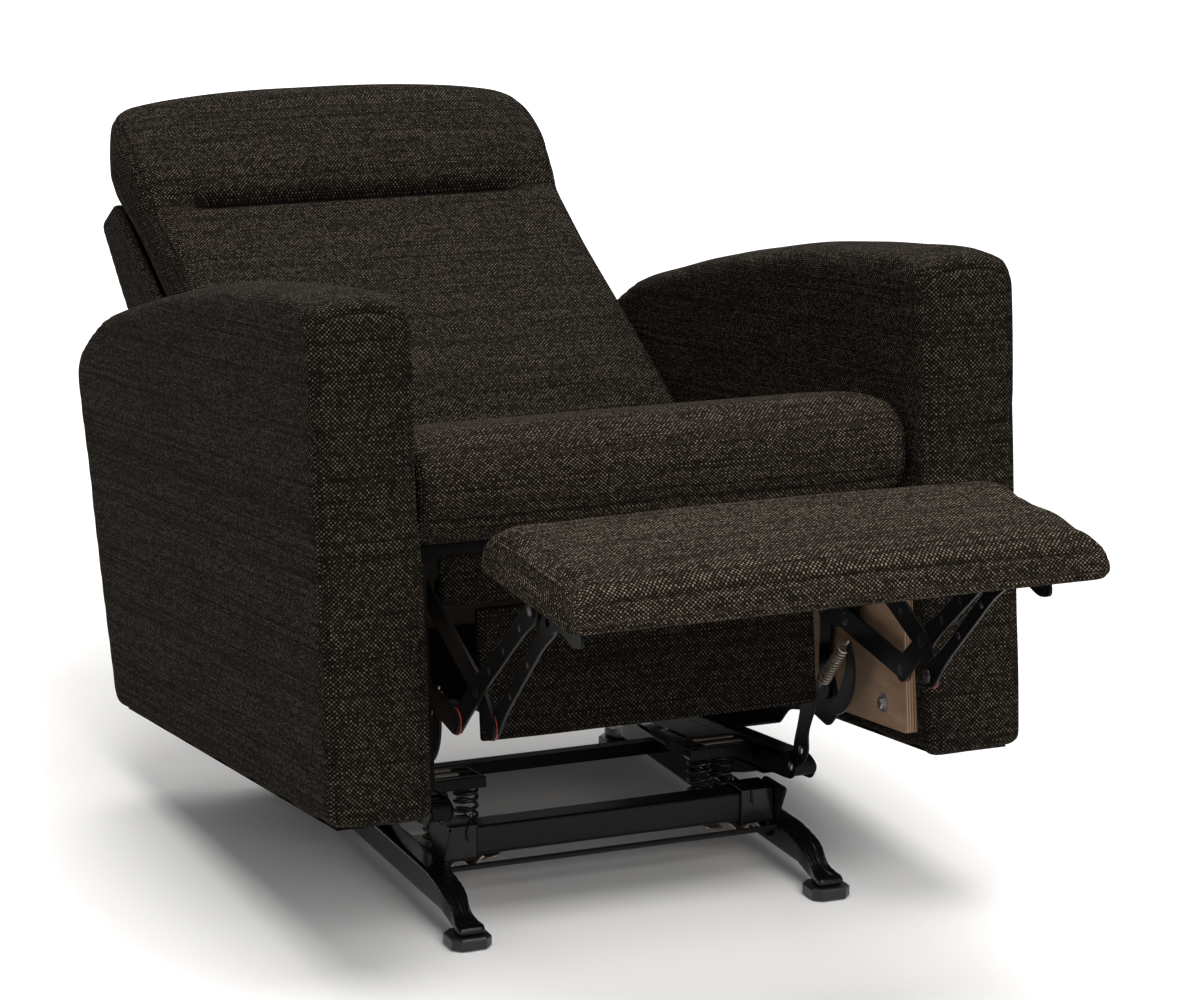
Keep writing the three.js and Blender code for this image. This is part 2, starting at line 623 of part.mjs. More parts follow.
addPair(chair, 'drive_link', driveLink(), BLACK_STEEL);
addPair(chair, 'long_link', longLink(), BLACK_STEEL);
addPair(chair, 'upper_link', upperLink(), BLACK_STEEL);
addPair(chair, 'rear_link', rearLink(), BLACK_STEEL);
addPair(chair, 'ottoman_bracket', ottomanBracket(), BLACK_STEEL);
add(chair, 'ottoman_board', ottomanBoard(), HARDWOOD);
add(chair, 'ottoman_pad', ottomanPad(), FABRIC);

export default armchair;
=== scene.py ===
import json
import math

import bmesh
import bpy
import numpy as np
from mathutils import Matrix, Vector, noise
from mathutils.kdtree import KDTree


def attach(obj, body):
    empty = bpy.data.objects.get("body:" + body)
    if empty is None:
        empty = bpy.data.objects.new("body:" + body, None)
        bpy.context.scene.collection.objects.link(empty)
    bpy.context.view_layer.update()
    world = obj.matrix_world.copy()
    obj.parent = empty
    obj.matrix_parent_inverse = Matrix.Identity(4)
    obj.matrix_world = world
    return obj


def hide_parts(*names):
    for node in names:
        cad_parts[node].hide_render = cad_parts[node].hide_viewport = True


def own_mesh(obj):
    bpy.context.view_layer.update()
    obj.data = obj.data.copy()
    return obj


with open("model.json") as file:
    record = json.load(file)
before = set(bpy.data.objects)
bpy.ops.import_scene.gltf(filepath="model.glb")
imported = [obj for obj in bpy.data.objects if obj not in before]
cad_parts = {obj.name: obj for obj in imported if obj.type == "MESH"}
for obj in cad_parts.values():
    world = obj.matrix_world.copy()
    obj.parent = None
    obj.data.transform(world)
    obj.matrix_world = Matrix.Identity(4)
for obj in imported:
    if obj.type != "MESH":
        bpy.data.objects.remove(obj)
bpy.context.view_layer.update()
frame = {"nodes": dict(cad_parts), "record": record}

# ---- Places: each piece is drawn in millimetres in one of these frames ----
MM = 0.001
LEAN = math.radians(6.53)
BACK_SLOPE = math.radians(32.4)
OTTOMAN_SLOPE = math.radians(7.8)
FLOOR = Matrix.Translation((0, -0.070, 0))
CHAIR = FLOOR @ Matrix.Rotation(-LEAN, 4, "X")
BACK = CHAIR @ Matrix.Translation((0, 0.236, 0.484)) @ Matrix.Rotation(BACK_SLOPE, 4, "X")
OTTOMAN = CHAIR @ Matrix.Translation((0, -0.597, 0.388)) @ Matrix.Rotation(OTTOMAN_SLOPE, 4, "X")
X_AXIS = Vector((1, 0, 0))
SIDES = (("left", 1), ("right", -1))

# ---- The chair's main sizes, millimetres ----
ARM_INNER, ARM_OUTER = 289.3, 400
ARM_OUTLINE = [
    (-373, 140, 6), (450, 140, 24), (545, 566, 34), (420, 620, 60),
    (200, 656, 90), (-60, 684, 90), (-318, 690, 34), (-379, 681, 22),
]
PLY = (274, 289)        # inner and outer face of the arm's plywood
LAYER_START, LAYER_PITCH, PLATE = 246, 4, 3.4
DRIVE_PIVOT, CROSS_PIVOT, REAR_PIVOT = (-277, 363), (-428, 281), (-228, 275)
LONG_LINK_HEEL, UPPER_LINK_HEEL = (-370, 240), (-453, 247)
OTTOMAN_REAR, OTTOMAN_FRONT = (-597, 388), (-627, 379)
BACK_PIVOT = (175, 420)
FRONT_SWING_FOOT, REAR_SWING_FOOT = (-150, 185), (110, 185)
SWING_LENGTH, SWING_LEAN = 95, math.radians(8)
SEAT_HALF = 281
DECK_TOP = 413.7
BACK_HALF = 280
OTTOMAN_HALF = 284
SPRINGS = ((143, -62), (175, -50))


def set_all(item, **settings):
    for key, value in settings.items():
        setattr(item, key, value)


# ---- Node materials ----
class Look:
    """A procedural material: a principled shader and short calls that wire nodes into it."""

    def __init__(self, name, **values):
        self.material = bpy.data.materials.new(name)
        self.material.use_nodes = True
        self.nodes = self.material.node_tree.nodes
        self.links = self.material.node_tree.links
        self.shader = self.nodes["Principled BSDF"]
        for socket, value in values.items():
            self.shader.inputs[socket.replace("_", " ")].default_value = value

    def put(self, socket, value):
        if isinstance(value, bpy.types.NodeSocket):
            self.links.new(value, socket)
        else:
            socket.default_value = value

    def node(self, kind, inputs=(), **settings):
        made = self.nodes.new("ShaderNode" + kind)
        set_all(made, **settings)
        for key, value in dict(inputs).items():
            self.put(made.inputs[key], value)
        return made

    def math(self, operation, a, b=0.0):
        return self.node("Math", {0: a, 1: b}, operation=operation).outputs[0]

    def times(self, a, b):
        return self.math("MULTIPLY", a, b)

    def span(self, value, low, high, to_low=0.0, to_high=1.0):
        made = self.node("MapRange", {0: value, 1: low, 2: high, 3: to_low, 4: to_high})
        return made.outputs[0]

    def mix(self, factor, a, b):
        made = self.node("Mix", {0: factor, 6: a, 7: b}, data_type="RGBA")
        return made.outputs[2]

    def noise(self, vector, scale, detail=2.0, roughness=0.5, stretch=(1, 1, 1)):
        if stretch != (1, 1, 1):
            vector = self.node("VectorMath", {0: vector, 1: stretch}, operation="MULTIPLY").outputs[0]
        inputs = {"Vector": vector, "Scale": scale, "Detail": detail, "Roughness": roughness}
        return self.node("TexNoise", inputs).outputs[0]

    def white_noise(self, x, y, z=0.0):
        inputs = {"Vector": self.combine(x, y, z)}
        return self.node("TexWhiteNoise", inputs, noise_dimensions="3D").outputs[0]

    def attribute(self, name, output="Vector"):
        return self.node("Attribute", attribute_name=name).outputs[output]

    def place(self):
        return self.node("TexCoord").outputs["Object"]

    def combine(self, x, y, z=0.0):
        return self.node("CombineXYZ", {0: x, 1: y, 2: z}).outputs[0]

    def colour(self, value):
        self.put(self.shader.inputs["Base Color"], value)

    def rough(self, value):
        self.put(self.shader.inputs["Roughness"], value)

    def bump(self, height, distance, strength=1.0):
        made = self.node("Bump", {"Height": height, "Distance": distance, "Strength": strength})
        self.links.new(made.outputs[0], self.shader.inputs["Normal"])


def rgb(r, g, b):
    """A colour given in linear light."""
    return (r, g, b, 1.0)


YARN = 2.3        # millimetres between neighbouring yarns of the tweed


def tinted(light, warmth):
    """A yarn's grey, turned towards brown."""
    return rgb(light * (1 + 0.06 * warmth), light * 0.85, light * (0.70 - 0.04 * warmth))


def tweed(name, light, warmth=0.0):
    """A coarse plain weave: light knots where the weft crosses over, near-black warp between them. The light
    factor scales the yarns' colour, so it makes lit and shaded copies of the one cloth: painted light and
    painted shade.
    """
    look = Look(name, Roughness=0.95, Specular_IOR_Level=0.02)
    cloth = look.attribute("weave")
    split = look.node("SeparateXYZ", {0: cloth}).outputs
    wander = look.span(look.noise(cloth, 0.035, 2.0), 0, 1, -1.6, 1.6)
    u = look.math("DIVIDE", look.math("ADD", split[0], wander), YARN)
    v = look.math("DIVIDE", look.math("ADD", split[1], wander), YARN)
    over = look.times(look.math("SINE", look.times(u, math.pi)), look.math("SINE", look.times(v, math.pi)))
    weft = look.span(over, 0.05, 0.55)
    warp = look.math("MAXIMUM", look.times(over, -1.0), 0.0)
    row, column = look.math("FLOOR", v), look.math("FLOOR", u)
    knot = look.white_noise(column, row)
    slub = look.noise(look.combine(look.times(u, 0.02), look.times(row, 3.7)), 1.0, 1.0)
    rib = look.noise(look.combine(0.0, look.times(row, 0.61)), 1.0, 3.0, 0.8)
    line = look.white_noise(0.0, row, 3.0)
    patch = look.noise(cloth, 0.012, 2.0)
    fibre = look.noise(cloth, 2.1, 3.0, 0.7)
    bright = look.times(weft, look.span(knot, 0, 1, 0.35, 1.2))
    bright = look.times(bright, look.span(slub, 0.3, 0.7, 0.5, 1.25))
    bright = look.times(bright, look.span(rib, 0.32, 0.62, 0.55, 1.2))
    bright = look.times(bright, look.span(line, 0.04, 0.22, 0.5, 1.0))
    bright = look.times(bright, look.span(fibre, 0.2, 0.8, 0.7, 1.3))
    ground = look.mix(patch, rgb(0.0022, 0.0016, 0.0009), rgb(0.0040, 0.0030, 0.0018))
    ground = look.mix(look.times(warp, 0.75), ground, tinted(0.008 * light, warmth))
    knots = look.mix(knot, tinted(0.055 * light, warmth), tinted(0.13 * light, warmth))
    # painted shade: this attribute darkens the cloth to near-black in seam creases and folds
    seam = look.attribute("seam", "Fac")
    colour = look.mix(look.math("MINIMUM", bright, 1.0), ground, knots)
    look.colour(look.mix(seam, colour, rgb(0.0035, 0.003, 0.0025)))
    look.rough(look.span(fibre, 0.2, 0.8, 0.86, 0.98))
    height = look.math("ADD", look.math("ABSOLUTE", over), look.times(fibre, 0.3))
    look.bump(height, 0.0009, 0.75)
    return look.material


def painted_steel(name, roughness, tone, specular, coat):
    """Thick black paint on pressed steel, slightly uneven."""
    look = Look(name, Coat_Weight=coat, Coat_Roughness=0.1, Specular_IOR_Level=specular)
    place = look.place()
    cloud = look.noise(place, 14.0, 3.0)
    peel = look.noise(place, 170.0, 2.0)
    scuff = look.noise(place, 60.0, 6.0, 0.75, (1, 1, 6))
    dark = rgb(tone * 0.7, tone * 0.7, tone * 0.75)
    look.colour(look.mix(cloud, dark, rgb(tone * 1.5, tone * 1.45, tone * 1.55)))
    look.rough(look.math("ADD", look.span(scuff, 0.55, 0.8, 0.0, 0.22), roughness))
    look.bump(look.math("ADD", peel, look.times(cloud, 4.0)), 0.00012, 0.15)
    return look.material


def bare_metal(name, dark, bright, roughness, metal=1.0, stretch=(1, 1, 1)):
    """Plated or oiled metal with a drawn grain and cloudy stains."""
    look = Look(name, Metallic=metal)
    place = look.place()
    stain = look.noise(place, 26.0, 5.0, 0.65)
    grain = look.noise(place, 500.0, 2.0, 0.5, stretch)
    look.colour(look.mix(stain, rgb(*dark), rgb(*bright)))
    look.rough(look.span(stain, 0.3, 0.7, roughness, roughness + 0.2))
    look.bump(grain, 0.0002, 0.4)
    return look.material


PLY_LAYER = 0.0032        # metres, one dark and one light layer


def plywood():
    """Birch plywood: long pale grain on the faces and thin alternating layers through the thickness."""
    look = Look("birch_plywood", Roughness=0.62)
    place = look.place()
    x = look.node("SeparateXYZ", {0: place}).outputs[0]
    depth = look.math("ABSOLUTE", x)
    layers = look.math("SINE", look.times(depth, 2 * math.pi / PLY_LAYER))
    grain = look.noise(place, 60.0, 5.0, 0.65, (1, 0.22, 1.6))
    fine = look.noise(place, 500.0, 3.0, 0.6, (1, 0.05, 1))
    face = look.mix(look.span(grain, 0.3, 0.7), rgb(0.21, 0.12, 0.065), rgb(0.36, 0.235, 0.15))
    edge = look.mix(look.span(layers, -0.5, 0.6), rgb(0.09, 0.048, 0.027), rgb(0.30, 0.19, 0.115))
    side = look.node("SeparateXYZ", {0: look.node("NewGeometry").outputs["True Normal"]}).outputs[0]
    is_edge = look.math("LESS_THAN", look.math("ABSOLUTE", side), 0.6)
    wood = look.mix(is_edge, face, edge)
    look.colour(look.mix(look.times(fine, 0.35), wood, rgb(0.16, 0.09, 0.045)))
    look.bump(fine, 0.0003, 0.5)
    return look.material


def timber(name, pale=1.0):
    """Sawn frame timber with long grain along the chair's width and saw marks."""
    look = Look(name, Roughness=0.75)
    place = look.place()
    rings = look.noise(place, 34.0, 4.0, 0.6, (0.12, 1, 1))
    saw = look.noise(place, 300.0, 2.0, 0.5, (1, 0.1, 0.1))
    look.colour(look.mix(look.span(rings, 0.3, 0.7), rgb(0.20 * pale, 0.12 * pale, 0.06 * pale),
                         rgb(0.42 * pale, 0.27 * pale, 0.15 * pale)))
    look.bump(saw, 0.0004, 0.4)
    return look.material


def plain_plastic(name, colour, roughness):
    """Moulded plastic with a fine grain."""
    look = Look(name)
    place = look.place()
    grain = look.noise(place, 900.0, 2.0)
    cloud = look.noise(place, 30.0, 3.0)
    look.colour(look.mix(cloud, rgb(*[c * 0.75 for c in colour]), rgb(*[c * 1.3 for c in colour])))
    look.rough(look.span(cloud, 0.3, 0.7, roughness - 0.06, roughness + 0.08))
    look.bump(grain, 0.0002, 0.5)
    return look.material


def dust_cloth_and_painted_shade():
    """Thin black non-woven cloth under the seat and the arms. The same black also serves as painted shade for
    sheets set into shaded gaps: at the seat's front, across the rear and over a plywood edge.
    """
    look = Look("dust_cloth_and_painted_shade", Roughness=0.95, Specular_IOR_Level=0.03)
    web = look.noise(look.place(), 700.0, 4.0, 0.8)
    look.colour(look.mix(web, rgb(0.002, 0.002, 0.002), rgb(0.008, 0.008, 0.008)))
    look.bump(web, 0.0003, 0.6)
    return look.material


TWEED = tweed("charcoal_tweed", 0.8, 0.5)
# painted light: a lighter copy of the tweed for the whole seat cushion, standing in for the light on its top
LIT_SEAT_TWEED = tweed("charcoal_tweed_seat_painted_light", 1.05, 0.8)
# painted light: a much lighter copy of the tweed for the whole footrest pad, standing in for the light
# falling on its top
LIT_TOP_TWEED = tweed("charcoal_tweed_painted_top_light", 1.4, 1.0)
# painted shade: a darker copy of the tweed for the covered boards under the seat, the crevice cloth behind
# the seat cushion and the back hem, all set in shade
SHADED_TWEED = tweed("charcoal_tweed_painted_shade", 0.45)
BLACK_STEEL = painted_steel("gloss_black_steel", 0.22, 0.0032, 0.24, 0.1)
SATIN_STEEL = painted_steel("satin_black_steel", 0.34, 0.0045, 0.16, 0.04)
LINK_STEEL = painted_steel("oiled_black_steel", 0.30, 0.0032, 0.09, 0.0)
ZINC = bare_metal("yellowed_zinc", (0.20, 0.165, 0.13), (0.42, 0.37, 0.31), 0.32)
SILVER = bare_metal("bright_rivet", (0.26, 0.26, 0.27), (0.5, 0.5, 0.51), 0.26)
RIVET = bare_metal("dark_rivet", (0.012, 0.011, 0.012), (0.09, 0.085, 0.09), 0.2, 0.9)
SPRING_WIRE = bare_metal("oiled_spring_wire", (0.018, 0.017, 0.016), (0.06, 0.056, 0.052), 0.22, 0.9,
                         (1, 1, 0.1))
SINUOUS_WIRE = bare_metal("sinuous_wire", (0.10, 0.09, 0.075), (0.22, 0.20, 0.17), 0.35)
PLYWOOD = plywood()
TIMBER = timber("frame_timber")
DARK_TIMBER = timber("shaded_rail_timber", 0.12)
GLIDE = plain_plastic("black_glide_plastic", (0.008, 0.008, 0.009), 0.36)
RED_NYLON = plain_plastic("red_nylon", (0.30, 0.025, 0.012), 0.4)
DUST_CLOTH_AND_SHADE = dust_cloth_and_painted_shade()


# ---- Mesh helpers: points in millimetres in a piece's own place ----
def linked(name, mesh):
    piece = bpy.data.objects.new(name, mesh)
    bpy.context.scene.collection.objects.link(piece)
    return piece


def to_object(name, vertices, faces):
    """A piece from points and faces, with every face turned outwards."""
    mesh = bpy.data.meshes.new(name)
    mesh.from_pydata([tuple(v) for v in vertices], [], faces)
    mesh.validate()
    work = bmesh.new()
    work.from_mesh(mesh)
    bmesh.ops.recalc_face_normals(work, faces=work.faces)
    work.to_mesh(mesh)
    work.free()
    return linked(name, mesh)


def values_of(items, key, width=3, kind=float):
    """One property of every item, as an array with a row per item."""
    values = np.empty(len(items) * width, kind)
    items.foreach_get(key, values)
    return values if width == 1 else values.reshape(-1, width)


def points_of(piece):
    return values_of(piece.data.vertices, "co")


def normals_of(piece):
    return values_of(piece.data.vertices, "normal")


def set_points(piece, co):
    piece.data.vertices.foreach_set("co", np.asarray(co, np.float32).ravel())
    piece.data.update()


def settle(piece):
    """Applies the piece's modifiers to its mesh."""
    graph = bpy.context.evaluated_depsgraph_get()
    mesh = bpy.data.meshes.new_from_object(piece.evaluated_get(graph))
    old = piece.data
    piece.modifiers.clear()
    piece.data = mesh
    bpy.data.meshes.remove(old)
    return piece


def modified(piece, kind, **settings):
    set_all(piece.modifiers.new(kind, kind), **settings)
    return settle(piece)


def cut_out(piece, hollow):
    """Takes the hollow out of the piece."""
    modified(piece, "BOOLEAN", object=hollow, solver="EXACT")
    bpy.data.objects.remove(hollow)


def finished(piece, place, material, body, smooth=True):
    """Moves a piece from its own place to the shared frame and rides it on its body."""
    piece.data.transform(place @ Matrix.Scale(MM, 4))
    piece.data.update()
    piece.data.polygons.foreach_set("use_smooth", [smooth] * len(piece.data.polygons))
    piece.data.materials.clear()
    piece.data.materials.append(material)
    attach(piece, body)
    return piece


def rounded(corners, per_corner=6):
    """Points round an outline of (u, v, radius) corners."""
    points = []
    for i, (u, v, radius) in enumerate(corners):
        here = Vector((u, v))
        before = Vector(corners[i - 1][:2])
        after = Vector(corners[(i + 1) % len(corners)][:2])
        start = here + (before - here).normalized() * radius
        end = here + (after - here).normalized() * radius
        for k in range(per_corner + 1):
            t = k / per_corner
            points.append(start * (1 - t) ** 2 + here * 2 * t * (1 - t) + end * t * t)
    return points


def resampled(points, step):
    """The closed outline again, with points about one step apart."""
    loop = np.array([tuple(p) for p in points] + [tuple(points[0])])
    along = np.concatenate([[0], np.cumsum(np.linalg.norm(np.diff(loop, axis=0), axis=1))])
    at = np.linspace(0, along[-1], max(8, int(along[-1] / step)), endpoint=False)
    return np.stack([np.interp(at, along, loop[:, 0]), np.interp(at, along, loop[:, 1])], axis=1)


def carried(name, near, far, bent=False):
    """A closed ring of points joined to the same ring further on, with caps.
    The caps of a bent band are rows of quads from one side of the band to the other."""
    count = len(near)
    faces = [(i, (i + 1) % count, (i + 1) % count + count, i + count) for i in range(count)]
    for base in (0, count):
        if bent:
            last = base + count - 1
            faces += [(base + i, base + i + 1, last - 1 - i, last - i) for i in range(count // 2 - 1)]
        else:
            faces.append(tuple(range(base, base + count)))
    return to_object(name, [*near, *far], faces)


def slab(name, ring, x0, x1, bent=False):
    """A ring of (y, z) points carried straight across from x0 to x1."""
    return carried(name, [(x0, *p) for p in ring], [(x1, *p) for p in ring], bent)


def prism(name, corners, x0, x1, step=12):
    """A side-view outline carried straight across from x0 to x1."""
    return slab(name, resampled(rounded(corners), step), x0, x1)


def block(name, x, y, z, bevel=0.0, segments=2):
    """A box between the given pairs, with bevelled edges."""
    vertices = [(a, b, c) for a in x for b in y for c in z]
    faces = [(0, 1, 3, 2), (4, 6, 7, 5), (0, 4, 5, 1), (2, 3, 7, 6), (0, 2, 6, 4), (1, 5, 7, 3)]
    piece = to_object(name, vertices, faces)
    if bevel:
        modified(piece, "BEVEL", width=bevel, segments=segments, limit_method="NONE")
    return piece


def turning(sides):
    """The angles of evenly spaced points round a circle."""
    return [2 * math.pi * k / sides for k in range(sides)]


def tube(name, path, radius, sides):
    """A round wire along a list of points, with closed ends."""
    path = [Vector(p) for p in path]
    vertices, faces = [], []
    normal = None
    for i, point in enumerate(path):
        ahead = (path[min(i + 1, len(path) - 1)] - path[max(i - 1, 0)]).normalized()
        if normal is None:
            normal = ahead.orthogonal().normalized()
        normal = (normal - ahead * normal.dot(ahead)).normalized()
        across = ahead.cross(normal)
        vertices += [point + (normal * math.cos(a) + across * math.sin(a)) * radius for a in turning(sides)]
    for i in range(len(path) - 1):
        for k in range(sides):
            a, b = i * sides + k, i * sides + (k + 1) % sides
            faces.append((a, b, b + sides, a + sides))
    faces.append(tuple(range(sides))[::-1])
    faces.append(tuple(len(path) * sides - sides + k for k in range(sides)))
    return to_object(name, vertices, faces)


def lathe_x(name, profile, at, sides, side=1):
    """A turned piece about an axis along X, from (x, radius) pairs. A radius of 0 is a point on the axis."""
    y, z = at
    vertices, faces, rings = [], [], []
    for x, radius in profile:
        start = len(vertices)
        if radius == 0:
            vertices.append((side * x, y, z))
        else:
            vertices += [(side * x, y + radius * math.cos(a), z + radius * math.sin(a))
                         for a in turning(sides)]
        rings.append(list(range(start, len(vertices))))
    for a, b in zip(rings, rings[1:]):
        for k in range(sides):
            loop = [a[k % len(a)], a[(k + 1) % len(a)], b[(k + 1) % len(b)], b[k % len(b)]]
            faces.append(tuple(dict.fromkeys(loop)))
    return to_object(name, vertices, faces)


def joined(name, parts):
    """Several loose pieces as one."""
    work = bmesh.new()
    for part in parts:
        work.from_mesh(part.data)
        mesh = part.data
        bpy.data.objects.remove(part)
        bpy.data.meshes.remove(mesh)
    mesh = bpy.data.meshes.new(name)
    work.to_mesh(mesh)
    work.free()
    return linked(name, mesh)


def turned_over(piece, side):
    """The piece on the other side of the chair."""
    if side < 0:
        piece.data.transform(Matrix.Scale(-1, 4, X_AXIS))
        piece.data.flip_normals()
    return piece


def crisp(piece, width, segments=2):
    """Bevels the sharp edges."""
    return modified(piece, "BEVEL", width=width, segments=segments, limit_method="ANGLE")


# ---- Upholstery ----
def soften(piece, voxel, rounds):
    """An even mesh of the piece with its edges rounded."""
    modified(piece, "REMESH", mode="VOXEL", voxel_size=voxel)
    modified(piece, "SMOOTH", factor=0.5, iterations=rounds)


STUFFING_FRAMES = 20


def stuffed(piece, cap, held=None):
    """Blows the cover up by cloth simulation, with no point further than the cap from where it was.
    held(points) gives how firmly each point is sewn down, from 0 to 1."""
    before = points_of(piece)
    piece.data.transform(Matrix.Scale(MM, 4))
    cloth = piece.modifiers.new("stuffing", "CLOTH")
    set_all(cloth.settings, quality=5, mass=0.3, tension_stiffness=12, compression_stiffness=12,
            bending_stiffness=6.0, use_pressure=True, uniform_pressure_force=4.0)
    cloth.settings.effector_weights.gravity = 0
    set_all(cloth.collision_settings, use_collision=False, use_self_collision=False)
    set_all(cloth.point_cache, frame_start=1, frame_end=STUFFING_FRAMES)
    if held is not None:
        group = piece.vertex_groups.new(name="sewn")
        for index, weight in enumerate(held(before)):
            if weight > 0.01:
                group.add([index], float(weight), "REPLACE")
        cloth.settings.vertex_group_mass = "sewn"
    for number in range(1, STUFFING_FRAMES + 1):
        bpy.context.scene.frame_set(number)
    settle(piece)
    bpy.context.scene.frame_set(1)
    piece.vertex_groups.clear()
    piece.data.transform(Matrix.Scale(1 / MM, 4))
    move = points_of(piece) - before
    length = np.linalg.norm(move, axis=1, keepdims=True)
    set_points(piece, before + move * np.minimum(1, cap / np.maximum(length, 1e-9)))


def refined(piece, rounds=2):
    """One subdivision and a little smoothing."""
    modified(piece, "SUBSURF", levels=1)
    modified(piece, "SMOOTH", factor=0.5, iterations=rounds)


def shift(piece, move):
    """Moves each point by what move(x, y, z) says; all are arrays."""
    co = points_of(piece)
    set_points(piece, co + np.stack(move(*co.T), axis=1))


def swell(piece, amounts):
    """Moves each point out along its normal."""
    set_points(piece, points_of(piece) + normals_of(piece) * amounts[:, None])


def to_line(co, line):
    """Distance from each point to a polyline."""
    best = np.full(len(co), 1e9)
    line = np.array([tuple(p) for p in line], float)
    for a, b in zip(line, line[1:]):
        t = np.clip(((co - a) @ (b - a)) / max((b - a) @ (b - a), 1e-9), 0, 1)
        best = np.minimum(best, np.linalg.norm(co - (a + t[:, None] * (b - a)), axis=1))
    return best


def on_surface(co, line, step=7.0):
    """The line again, with each of its closely spaced points moved to the nearest point of the cover."""
    points = []
    for a, b in zip(line, line[1:]):
        a, b = np.array(a, float), np.array(b, float)
        count = max(1, int(np.linalg.norm(b - a) / step))
        points += [a + (b - a) * k / count for k in range(count)]
    points.append(np.array(line[-1], float))
    found = np.array([co[np.argmin(((co - point) ** 2).sum(axis=1))] for point in points])
    found[1:-1] = (found[:-2] + found[1:-1] * 2 + found[2:]) / 4
    return found


SEAM_SHADE_WIDTH = 0.42        # of the width that the seam pulls in, for the painted shade in its crease


def sew(piece, lines, depth, width, shade=0.8):
    """Pulls the cover in along seams, and paints shade into their creases for the weave."""
    co = points_of(piece)
    nearest = np.min([to_line(co, on_surface(co, line)) for line in lines], axis=0)
    swell(piece, -depth * np.exp(-((nearest / width) ** 2)))
    paint_seam_shade(piece, np.exp(-((nearest / (SEAM_SHADE_WIDTH * width)) ** 2)) * shade)


def paint_seam_shade(piece, values):
    """Raises the painted seam shade of each point to at least these values; this darkening stands in for the
    shade in seam creases and folds.
    """
    seam = piece.data.attributes.get("seam") or piece.data.attributes.new("seam", "FLOAT", "POINT")
    old = np.empty(len(values), np.float32)
    seam.data.foreach_get("value", old)
    seam.data.foreach_set("value", np.maximum(old, np.asarray(values, np.float32)))


FACES_SIDEWAYS = 0.72        # the normal's share along X from which the weave runs up the side


def weave_on(piece, corners=None, flat_axis=2):
    """Lays the cloth's own coordinates over the piece: across, and round its outline or along a flat axis."""
    mesh = piece.data
    co = points_of(piece)
    if corners is not None:
        ring = resampled(rounded(corners), 4)
        tree = KDTree(len(ring))
        for i, (u, v) in enumerate(ring):
            tree.insert((u, v, 0), i)
        tree.balance()
        nearest = np.array([tree.find((y, z, 0))[1] for _, y, z in co])
        ahead = np.roll(ring, -1, axis=0) - np.roll(ring, 1, axis=0)
        ahead /= np.linalg.norm(ahead, axis=1, keepdims=True)
        pitch = np.linalg.norm(np.diff(ring, axis=0), axis=1).mean()
        round_it = nearest * pitch + np.einsum("ij,ij->i", co[:, 1:] - ring[nearest], ahead[nearest])
        length = pitch * len(ring)
    else:
        round_it, length = co[:, flat_axis], 0
    loops = values_of(mesh.loops, "vertex_index", 1, int)
    totals = values_of(mesh.polygons, "loop_total", 1, int)
    normals = np.repeat(np.abs(values_of(mesh.polygons, "normal")), totals, axis=0)
    first = np.repeat(np.concatenate([[0], np.cumsum(totals)[:-1]]), totals)
    around = round_it[loops]
    if length:
        around += np.round((around[first] - around) / length) * length
    side = normals[:, 0] > FACES_SIDEWAYS
    u = np.where(side, co[loops, 1], co[loops, 0])
    v = np.where(side, co[loops, 2], around)
    weave = mesh.attributes.new("weave", "FLOAT_VECTOR", "CORNER")
    cloth = np.stack([u, v, np.zeros_like(u)], axis=1)
    weave.data.foreach_set("vector", cloth.astype(np.float32).ravel())
    if not mesh.attributes.get("seam"):
        paint_seam_shade(piece, np.zeros(len(co)))


def smooth_step(value, low, high):
    t = np.clip((value - low) / (high - low), 0, 1)
    return t * t * (3 - 2 * t)


def ripple(co, scale, seed):
    """Smooth noise from -1 to 1 at each point."""
    offset = Vector((seed * 13.7, seed * 7.1, seed * 3.3))
    return np.array([noise.noise(Vector(p) / scale + offset) for p in co])


def upholster(piece, outline, place, material, body, node, side=1):
    """Lays the weave over a padded cover, and stands the cover for its CAD node."""
    weave_on(piece, outline)
    finished(turned_over(piece, side), place, material, body)
    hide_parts(node)
    return piece


